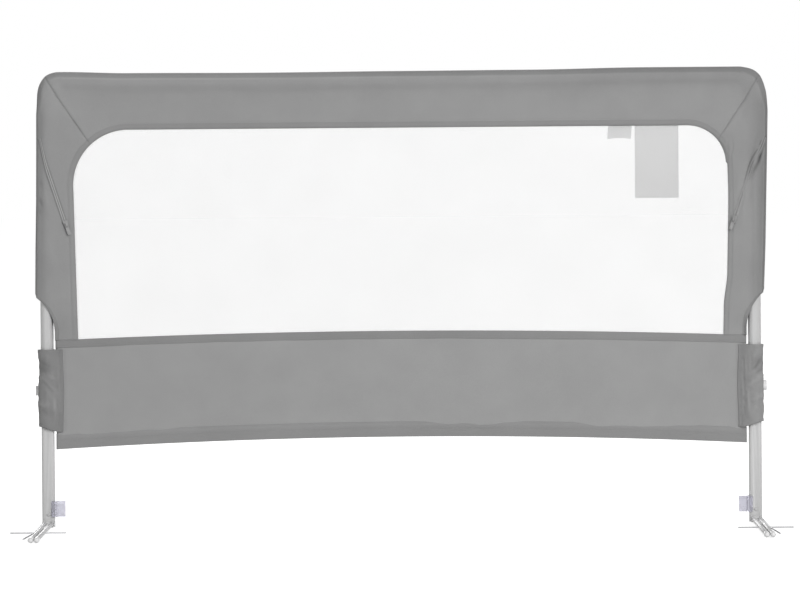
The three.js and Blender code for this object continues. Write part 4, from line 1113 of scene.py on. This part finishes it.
class MakePanel(bpy.types.Operator):
    """Makes the lower panel and its two hems"""

    bl_idname = "rail.make_panel"
    bl_label = "Make panel"

    def execute(self, context):
        panel = context.scene.bed_rail.panel
        along = np.linspace(-PANEL_X, PANEL_X, 243)
        x = along * np.ones((54, 1))
        z = lerp(panel_foot(x), panel_top(x), np.linspace(0, 1, 54)[:, None])
        y = PANEL_Y - panel.wall / 2 - panel_face(x, z, panel.ripple)
        tuck = np.where(x < 0, SLEEVE_TUCKS["left"], SLEEVE_TUCKS["right"])
        beside = (z > SLEEVE_FOOT) & (z < SLEEVE_TOP)
        # Painted shadow: seam is a dark line on the panel beside each sleeve's inner edge. The panel is also
        # painted darker towards its left, where less light falls, and is lighter low in the middle.
        seam = bell(np.abs(x) - tuck - SLEEVE_SEAM_X + 1.0 * MM, 2.6 * MM) * beside
        lower_middle = ramp(175, 140, z) * ramp(-200, 0, x)
        tone = 1.035 + 0.02 * ramp(-300, 0, x) + 0.02 * lower_middle - 0.12 * seam
        looks = {"uv": np.stack([x, z], 2), "tone": tone, "wall": panel.wall}
        stands_for = ["panel_upper", "panel_lower"]
        points = np.stack([x, y, z], 2)
        cloth = piece("lower_panel", points, quads(*x.shape), "grey_fabric", stands_for=stands_for, **looks)
        bend_at_fold(cloth)
        hems = [
            self.hem("panel_top_hem", panel, panel_top, -1, panel.top_hem, 1.0 * MM, 0.80, "guard"),
            self.hem("panel_bottom_hem", panel, panel_foot, 1, panel.bottom_hem, 8 * MM, 0.84, "base"),
        ]
        return {"FINISHED"}

    def hem(self, name, panel, edge, inwards, height, ease, shade, body):
        """A closed strip over one edge of the panel: its far side eases into the cloth."""
        tall = height / MM
        front = (
            *((-0.45, 0.6), (-0.15, 0.95), (0.6, 1.0), (tall * 0.35, 1.0), (tall * 0.62, 0.95)),
            *((tall - 2.6, 0.82), (tall - HEM_STITCH_IN / MM, HEM_STITCH_RISE), (tall - 1.2, 0.85)),
            *((tall - 0.4, 0.8), (tall, 0.45), (tall + 0.25 * ease / MM, 0.3)),
        )
        half = panel.wall / 2
        loop = [(off * MM, half + panel.hem_rise * rise) for off, rise in front]
        loop.append((height + ease, 0.85 * half))
        loop = [(-0.5 * MM, 0), *((off, -y) for off, y in loop), *reversed(loop)]
        along, y = np.array(loop).T
        x = np.linspace(-PANEL_X - 0.4 * MM, PANEL_X + 0.4 * MM, 322)[:, None]
        z = edge(x) + inwards * along
        pucker = 0.10 * MM * np.sin(x / (1.15 * MM)) * bell(along - height + 2 * MM, 2.5 * MM)
        swell = 0.25 * MM * uneven(x, 0, z, 0.03, 4) * (np.abs(y) > half)
        x, y, along = np.broadcast_arrays(x, PANEL_Y + y + np.sign(y) * (pucker + swell), along)
        tone = np.where(along < height, shade, lerp(shade, 0.97, (along - height) / ease))
        # The top hem is painted lighter towards the right, where more light falls
        tone = tone + 0.045 * ramp(-100, 300, x) * (inwards < 0)
        points, uv = np.stack([x, y, z], 2), np.stack([x, along], 2)
        return piece(name, points, strip_faces(*x.shape), "grey_fabric", body, uv=uv, tone=tone)


# Section of a sleeve round its hinge from seam to seam, seen from above, in millimetres
SLEEVE_SECTION = (
    (469.7, 161.8),
    (474, 159.8),
    (480, 156.2),
    (486, 152.8),
    (491, 151.0),
    (496, 150.8),
    (501, 152.9),
    (504.8, 157.0),
    (506, 162.4),
    (505.6, 167.3),
    (502.6, 172.6),
    (497.5, 175.8),
    (492, 176.2),
    (486, 173.4),
    (480, 169.8),
    (474, 166.6),
    (469.7, 164.6),
)
# How far the sleeve's seam is tucked inwards, then its folds, and the painted shade and highlights of its
# creases, as creases() takes them
SLEEVE_TUCKS = {"left": 2.8 * MM, "right": 1.4 * MM}
LEFT_FOLDS = (
    (-508, 233, -492, 226, -1.5, 4.5),
    (-508, 222, -490, 220, -2.3, 5),
    (-508, 210, -498, 206, 1.5, 3.2),
    (-502, 206, -480, 188, 1.5, 3.0),
    (-500, 216, -482, 206, 1.0, 2.6),
    (-498, 196, -484, 176, 0.9, 3.0),
    (-508, 174, -494, 170, 1.5, 3.6),
    (-480, 240, -479, 200, 0.8, 2.2),
    (-476, 236, -475, 160, 0.9, 1.8),
    (-484, 186, -482, 150, 0.9, 2.2),
    (-504, 164, -488, 156, -0.8, 4),
    (-488, 232, -486, 208, 0.7, 2.2),
    (-495, 240, -494, 224, 0.6, 2.2),
)
RIGHT_FOLDS = (
    (508, 228, 490, 222, -2.0, 5),
    (508, 216, 492, 212, -1.7, 4),
    (508, 206, 496, 202, 1.3, 3),
    (503, 218, 484, 206, 1.1, 2.6),
    (500, 200, 482, 190, 1.2, 3),
    (506, 178, 492, 172, 1.2, 3.4),
    (480, 238, 481, 196, 0.8, 2.0),
    (475, 232, 476, 150, 0.9, 1.8),
    (486, 234, 487, 206, 0.8, 2.0),
    (492, 236, 493, 220, 0.6, 2.0),
    (484, 184, 486, 148, 0.9, 2.2),
    (498, 164, 486, 152, 0.7, 3.6),
)
LEFT_CREASE_SHADING = (
    (-503, 209, -486, 190, -3.4, 1.6),
    (-504, 232, -488, 224, -1.2, 1.6),
    (-500, 219, -492, 211, -1.5, 1.5),
    (-484.4, 179, -484.4, 163, 2.0, 1.3),
    (-481, 238, -480, 190, -0.9, 1.5),
    (-494, 184, -491, 150, 0.9, 1.4),
    (-500, 176, -486, 158, -0.8, 2.0),
)
RIGHT_CREASE_SHADING = (
    (501, 227, 494, 214, -2.8, 1.6),
    (497, 221, 489, 211, -1.6, 1.4),
    (504, 213, 494, 207, -1.4, 1.3),
    (484.6, 182, 484.6, 160, 1.8, 1.3),
    (490, 238, 489, 200, -0.9, 1.5),
    (480, 230, 479, 150, -0.8, 1.6),
    (500, 190, 499, 160, -0.8, 1.6),
)
# Folds, painted crease shading, how far the ends flare out, and lightness: the left sleeve is painted darker
# and the right lighter, in part for light that falls more from the right
SLEEVE_SIDES = {
    "left": (LEFT_FOLDS, LEFT_CREASE_SHADING, 0.9 * MM, 0.87),
    "right": (RIGHT_FOLDS, RIGHT_CREASE_SHADING, 0.3 * MM, 1.10),
}


def sleeve_rows(sleeve, foot):
    """Heights of the sleeve's points, row by row, from its slanting foot: the slot has rows of its own."""
    bands = (
        (foot, sleeve.slot_foot, np.linspace(0, 0.999, 30, endpoint=False)),
        (sleeve.slot_foot, sleeve.slot_top, np.linspace(0, 1, 17, endpoint=False)),
        (sleeve.slot_top, SLEEVE_TOP, np.linspace(0, 1, 28)),
    )
    return np.vstack([lerp(start, end, part[:, None]) * np.ones(len(foot)) for start, end, part in bands])


def sleeve_push(x, y, z, sign, folds, in_front, pinned, fold):
    """How far the wrinkles push the sleeve out, kept clear of the hinge within and the arm in front."""
    push = creases(x, z, folds) * in_front
    push = push + (1 - in_front) * creases(x + sign * 2 * MM, z + 5 * MM, folds) * 0.9
    push = push + 0.8 * MM * uneven(x, y, z, 0.013, 11 + sign) + 0.5 * MM * uneven(x, y, z, 0.006, 14 + sign)
    push = push * pinned * fold / MM
    upper_socket = ramp(198, 203, z) * ramp(246, 241, z)
    lower_socket = ramp(186, 181, z) * ramp(140, 145, z)
    outward = ramp(499, 504, np.abs(x))
    before_arm = ramp(480, 486, np.abs(x)) * in_front
    deepest = lerp(-2.6 * MM, -0.8 * MM, np.maximum(upper_socket, lower_socket))
    deepest = lerp(deepest, -0.35 * MM, outward)
    most = lerp(lerp(1.9 * MM, 1.3 * MM, outward), 1.0 * MM, before_arm)
    return np.clip(push, deepest, most)


class MakeSleeves(bpy.types.Operator):
    """Makes the wrinkled sleeves round the hinges, with a slot behind for each hinge"""

    bl_idname = "rail.make_sleeves"
    bl_label = "Make sleeves"

    def execute(self, context):
        section = rounded(np.array(SLEEVE_SECTION) * MM, 57)
        tangent = np.gradient(section, axis=0)
        normal = np.stack([tangent[:, 1], -tangent[:, 0]])
        normal /= np.linalg.norm(normal, axis=0)
        for side, sign in SIDES:
            self.wrap(context.scene.bed_rail.sleeve, side, sign, section, normal)
        return {"FINISHED"}

    def wrap(self, sleeve, side, sign, section, normal):
        folds, crease_shading, flare_width, light = SLEEVE_SIDES[side]
        reach, y = section.T
        along = lengths_along(section)
        foot = lerp(SLEEVE_FOOT, SLEEVE_FOOT + 8 * MM, ramp(474, 506, reach))
        z = sleeve_rows(sleeve, foot)
        x = sign * reach
        in_front = ramp(166, 160, y)
        beside_seam = np.clip(np.minimum(along, along[-1] - along) / (7 * MM), 0, 1)
        pinned = beside_seam * (0.25 + 0.75 * ramp(0, 5, z - foot) * ramp(0, 6, SLEEVE_TOP - z))
        push = sleeve_push(x, y, z, sign, folds, in_front, pinned, sleeve.fold)
        flare = ramp(232, 238, z) + ramp(203, 198, z) * ramp(134, 160, z)
        hem = (1 - ramp(4.4, 5, SLEEVE_TOP - z)) + (1 - ramp(4.4, 5, z - foot))
        push = push + flare_width * flare * ramp(497, 504, reach) + 0.3 * MM * hem
        belly = np.sin(np.pi * np.clip((z - SLEEVE_FOOT) / (SLEEVE_TOP - SLEEVE_FOOT), 0, 1)) ** 2
        inwards = 1.6 * MM * belly * ramp(478, 470, reach) - SLEEVE_TUCKS[side] * ramp(482, 472, reach)
        points = np.stack([x + sign * (push * normal[0] - inwards), y + push * normal[1], z], 2)
        uv = np.stack(np.broadcast_arrays(along, z), 2)
        # Painted shade and highlights: lighter where the wrinkles push out, darker in their hollows, with the
        # painted crease shading; a little darker at the hems and along the inner edge, then scaled by the
        # side's lightness
        shade = np.clip(creases(x, z, folds + crease_shading) / MM, -3.5, 2.5) * in_front
        tone = 1 + 0.03 * np.clip(push / MM, -2, 2) - 0.03 * hem + 0.09 * shade
        tone = light * (tone - 0.06 * (1 - ramp(6, 10, along)) * in_front)
        behind = (y > 166.5 * MM) & (reach > 482 * MM)
        middle = (z[:-1] + z[1:]) / 2

        def keep(i, j):
            slot = sleeve.slot_foot < middle[i, j] < sleeve.slot_top
            return not (slot and behind[j] and behind[j + 1])

        faces = quads(*z.shape, keep=keep)
        if sign < 0:
            faces = [face[::-1] for face in faces]
        looks = {"uv": uv, "tone": tone, "wall": sleeve.wall, "mend": remove_loose}
        stands_for = [f"sleeve_upper_{side}", f"sleeve_lower_{side}"]
        wrap = piece(f"sleeve_{side}", points, faces, "sleeve_fabric", stands_for=stands_for, **looks)
        bend_at_fold(wrap)


class MakeZips(bpy.types.Operator):
    """Makes each side band's zip: two lips with a coil of teeth between them"""

    bl_idname = "rail.make_zips"
    bl_label = "Make zips"

    def execute(self, context):
        sizes = context.scene.bed_rail.zip
        top, foot = np.array(ZIP_TOP), np.array(ZIP_FOOT)
        ahead = (top - foot) / np.linalg.norm(top - foot)
        outwards = np.array((ahead[1], -ahead[0]))
        tree = repeat_tree("zip_coil", 8, 6, "Y")
        for side, sign in SIDES:
            stations = np.linspace(foot - ahead * 1 * MM, top + ahead * (7 if sign < 0 else 1) * MM, 64)
            if sign > 0:
                stations[:, 0] += 4.0 * MM * ramp(496, 526, stations[:, 1])
            for place, hand in (("outer", 1), ("inner", -1)):
                self.lip(f"zip_lip_{side}_{place}", sizes, sign, stations, hand, hand * outwards)
            self.teeth(side, sizes, sign, stations[2:-5], tree)
        return {"FINISHED"}

    def lip(self, name, sizes, sign, stations, hand, outwards):
        """One lip: a closed strip beside the teeth, which dips at both ends."""
        w, h, gap = sizes.lip_width, sizes.lip_rise, sizes.gap / 2
        section = (
            (gap + w + 0.4 * MM, -0.5 * MM),
            (gap + w, 0.12 * MM),
            (gap + 0.8 * w, 0.34 * h),
            (gap + 0.5 * w, 0.6 * h),
            (gap + 0.28 * w, 0.95 * h),
            (gap + 0.12 * w, 1.0 * h),
            (gap, 0.8 * h),
            (gap - 0.15 * MM, 0.3 * h),
            (gap + 0.1 * MM, -0.5 * MM),
        )
        across, rise = np.array(section).T
        n = np.arange(len(stations))[:, None]
        from_end = np.minimum(n, n[::-1]) / 3
        fade = np.sqrt(1 - (1 - np.minimum(1, 0.25 + from_end)) ** 2)
        wave = 0.12 * MM * np.sin(n * 0.9 + hand) + 0.1 * MM * np.sin(n * 0.37)
        x = sign * (stations[:, :1] + outwards[0] * across)
        z = stations[:, 1:] + outwards[1] * across
        y = cover_front(x, z) - rise * fade - wave * (rise > 0.3 * h)
        uv = np.stack(np.broadcast_arrays(lengths_along(stations)[:, None], across), 2)
        # Painted highlight on the crests of the lips and painted shade on their sides; the right zip's upper
        # half is painted darker, as shade in its crease
        upper = smooth(0.35, 0.7, n / n[-1])
        light, dark = (1.38, 0.68) if sign < 0 else (0.99 - 0.15 * upper, 0.97 - 0.40 * upper)
        tone = np.broadcast_to(lerp(dark, light, rise > 0.9 * h), x.shape)
        points = np.stack([settled(x, z), y, z], 2)
        piece(name, points, strip_faces(*x.shape), "grey_fabric", "guard", uv=uv, tone=tone)

    def teeth(self, side, sizes, sign, stations, tree):
        sunk = (-0.12 if sign < 0 else 0.35) * MM
        x, z = sign * stations[:, 0], stations[:, 1]
        line = np.stack([settled(x, z), cover_front(x, z) + sunk, z], 1)
        tooth = {"Length": sizes.tooth_length, "Width": sizes.tooth_width, "Height": 1.1 * MM}
        finish = material("zip_nylon")
        teeth = repeat_along(f"zip_teeth_{side}", [line], tree, finish, Pitch=sizes.tooth_pitch, **tooth)
        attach(teeth, "guard")
        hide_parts(f"zip_{side}")


# Piece, node, how far the foot curves, and its slant
TABS = (
    ("tab_large", "woven_tab_large", 0.0, 0.0),
    ("tab_small", "woven_tab_small", -1.6 * MM, 1.8 * MM),
)
TAB_WALL = 0.35 * MM
TAB_TUCK = 3 * MM


class MakeTabs(bpy.types.Operator):
    """Makes the blank woven tabs that hang behind the netting"""

    bl_idname = "rail.make_tabs"
    bl_label = "Make tabs"

    def execute(self, context):
        for name, node, curve, slant in TABS:
            (x1, _, z1), (x2, y2, z2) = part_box(node)
            across, up = np.meshgrid(np.linspace(0, 1, 26), np.linspace(0, 1, 32))
            belly = curve * (2 * across - 1) ** 2
            x = lerp(x1, x2, across) - slant * (1 - up)
            z = lerp(z1 + belly, z2 + TAB_TUCK, up)
            y = y2 + 0.2 * MM + (1 - up) * (0.5 * MM + 0.9 * MM * uneven(x, 0, z, 0.05, 21))
            folded = np.abs(2 * across - 1) > 0.94
            points, uv = np.stack([x, y - 0.25 * MM * folded, z], 2), np.stack([x, z], 2)
            faces = [face[::-1] for face in quads(*x.shape)]
            looks = {"uv": uv, "tone": 1 - 0.04 * folded, "wall": TAB_WALL, "stands_for": [node]}
            tape = piece(name, points, faces, "woven_tape", "guard", **looks)
        return {"FINISHED"}


SPRING_WIRE = 0.35 * MM
SPRING_TURNS = 4
STEPS_PER_TURN = 26


class MakeSprings(bpy.types.Operator):
    """Winds the springs behind the release buttons from round wire"""

    bl_idname = "rail.make_springs"
    bl_label = "Make springs"

    def execute(self, context):
        steps = SPRING_TURNS * STEPS_PER_TURN
        for side, sign in SIDES:
            node = f"release_spring_{side}"
            lo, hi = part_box(node)
            middle, radius = (lo + hi) / 2, (hi.y - lo.y) / 2 - SPRING_WIRE
            route = []
            for i in range(steps + 1):
                turn = 2 * math.pi * i / STEPS_PER_TURN
                rise = smooth(0.04, 0.96, i / steps) * 0.4 + 0.6 * i / steps
                x = lerp(lo.x + SPRING_WIRE, hi.x - SPRING_WIRE, rise)
                route.append((x, middle.y + radius * math.cos(turn), middle.z + radius * math.sin(turn)))
            rings, faces, uv = tube_mesh(route, SPRING_WIRE, 10)
            spring = piece(f"button_spring_{side}", rings, faces, "steel", "base", uv=uv, stands_for=[node])
            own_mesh(spring)
        return {"FINISHED"}


def window_line(off, hand, rise):
    """A line along the window at a distance outwards, on the cover's front (-1) or back (1)."""
    inner, _, ahead, *_ = cover_stations()
    at = inner + ahead * off / window_rate(inner, ahead)
    depth = cover_depth(at[:, 0], at[:, 1]) + rise
    return [(x, PLANE_Y + hand * d, z) for (x, z), d in zip(at, depth)]


class SewSeams(bpy.types.Operator):
    """Sews a row of stitches along the window's hem and along the panel's two hems"""

    bl_idname = "rail.sew_seams"
    bl_label = "Sew seams"

    def execute(self, context):
        panel = context.scene.bed_rail.panel
        stitch("cover_stitches", [window_line(HEM_SEAM, hand, 0.36 * MM) for hand in (-1, 1)], "guard")
        columns = np.linspace(-PANEL_X + 3 * MM, PANEL_X - 3 * MM, 200)
        lift = panel.wall / 2 + HEM_STITCH_RISE * panel.hem_rise + 0.1 * MM
        for name, edge, inwards, height, body in (
            ("top_hem_stitches", panel_top, -1, panel.top_hem, "guard"),
            ("bottom_hem_stitches", panel_foot, 1, panel.bottom_hem, "base"),
        ):
            level = edge(columns) + inwards * (height - HEM_STITCH_IN)
            rows = [[(x, PANEL_Y + hand * lift, z) for x, z in zip(columns, level)] for hand in (-1, 1)]
            stitch(name, rows, body)
        return {"FINISHED"}


# Stage


WHITE = (1, 1, 1, 1)
FLOOR_COLOUR = (0.72, 0.72, 0.72, 1)
FLOOR_GLOW = 0.742
LAMP_TARGET = Vector((0, PLANE_Y, 0.35))
# Name of each lamp, which picks its level from the stage settings, then its place and its width
LAMPS = (
    ("key", (2.4, -5.8, 2.4), 3.0),
    ("fill", (-3.4, -5.4, 1.4), 3.2),
    ("back", (-1.5, 6.0, 2.6), 3.0),
)


class SetStage(bpy.types.Operator):
    """Sets the camera at the photograph's view, the lamps, the floor and the sky"""

    bl_idname = "rail.set_stage"
    bl_label = "Set stage"

    def execute(self, context):
        scene = context.scene
        stage = scene.bed_rail.stage
        scene.view_settings.view_transform = "Standard"
        self.camera(scene, stage)
        for name, place, width in LAMPS:
            self.lamp(f"{name}_lamp", Vector(place), width, getattr(stage, name))
        self.floor(stage)
        self.sky(scene, stage)
        return {"FINISHED"}

    def camera(self, scene, stage):
        data = bpy.data.cameras.new("camera")
        data.sensor_width = 36
        data.lens = stage.lens
        data.clip_end = 100
        camera = bpy.data.objects.new("camera", data)
        scene.collection.objects.link(camera)
        level = Vector((-math.sin(stage.yaw), math.cos(stage.yaw), 0))
        right = Vector((math.cos(stage.yaw), math.sin(stage.yaw), 0))
        upright = Vector((0, 0, 1))
        ahead = math.cos(stage.pitch) * level + math.sin(stage.pitch) * upright
        up = -math.sin(stage.pitch) * level + math.cos(stage.pitch) * upright
        c, s = math.cos(stage.roll), math.sin(stage.roll)
        right, up = c * right + s * up, -s * right + c * up
        axes = Matrix((right, up, -ahead)).transposed().to_4x4()
        camera.matrix_world = Matrix.Translation((stage.camera_x, stage.camera_y, stage.camera_z)) @ axes
        scene.camera = camera

    def lamp(self, name, place, width, level):
        """An area lamp that gives a white card at the rail this much light."""
        data = bpy.data.lights.new(name, "AREA")
        data.shape = "SQUARE"
        data.size = width
        aim = LAMP_TARGET - place
        data.energy = math.pi**2 * level * aim.length_squared
        lamp = bpy.data.objects.new(name, data)
        bpy.context.scene.collection.objects.link(lamp)
        lamp.location = place
        lamp.rotation_euler = aim.to_track_quat("-Z", "Y").to_euler()

    def floor(self, stage):
        """A pale floor that looks white to the camera and keeps the rail's shadow."""
        turns = np.linspace(0, 2 * math.pi, 48, endpoint=False)
        ring = stage.floor_radius * np.stack([np.cos(turns), np.sin(turns), 0 * turns], 1)
        shader = Shader("pale_floor", Roughness=0.9, Specular_IOR_Level=0.0, Base_Color=FLOOR_COLOUR)
        strength = shader.math("MULTIPLY", shader.seen(), FLOOR_GLOW)
        glow = shader.node("ShaderNodeEmission", {"Color": WHITE, "Strength": strength})[0]
        both = shader.node("ShaderNodeAddShader", {0: shader.surface.outputs[0], 1: glow})[0]
        shader.feed(shader.tree.nodes["Material Output"].inputs["Surface"], both)
        mesh_object("floor", ring, [tuple(range(48))], shader.material)

    def sky(self, scene, stage):
        """A sky that looks white to the camera and lights the rail more softly."""
        scene.world = bpy.data.worlds.new("studio")
        scene.world.use_nodes = True
        nodes = Nodes(scene.world.node_tree)
        back = nodes.tree.nodes["Background"].inputs
        ends = {"Value": nodes.seen(), "To Min": stage.sky, "To Max": 1.0}
        nodes.feed(back["Strength"], nodes.node("ShaderNodeMapRange", ends)[0])
        nodes.feed(back["Color"], WHITE)


class BedRailPanel(bpy.types.Panel):
    """Lists the steps that make the bed guard rail"""

    bl_idname = "VIEW3D_PT_bed_rail"
    bl_label = "Bed guard rail"
    bl_space_type = "VIEW_3D"
    bl_region_type = "UI"
    bl_category = "Bed rail"

    def draw(self, context):
        for step in STEPS:
            self.layout.operator(step.bl_idname)
        for part in BedRail.__annotations__:
            group = getattr(context.scene.bed_rail, part)
            box = self.layout.box()
            box.label(text=type(group).__doc__ or "")
            for name in type(group).__annotations__:
                box.prop(group, name)


STEPS = (
    SetStage,
    DressFittings,
    MakeCover,
    MakePiping,
    MakePanel,
    MakeNetting,
    MakeSleeves,
    MakeZips,
    MakeTabs,
    MakeSprings,
    SewSeams,
)
GROUPS = (
    CoverSizes,
    PanelSizes,
    NettingSizes,
    SleeveSizes,
    ZipSizes,
    SeamSizes,
    Finishes,
    StageSizes,
    BedRail,
)


def register():
    for kind in (*GROUPS, *STEPS, BedRailPanel):
        bpy.utils.register_class(kind)
    bpy.types.Scene.bed_rail = PointerProperty(type=BedRail)


def unregister():
    del bpy.types.Scene.bed_rail
    for kind in reversed((*GROUPS, *STEPS, BedRailPanel)):
        bpy.utils.unregister_class(kind)


def main():
    register()
    for step in STEPS:
        group, name = step.bl_idname.split(".")
        getattr(getattr(bpy.ops, group), name)()


if __name__ == "__main__":
    main()
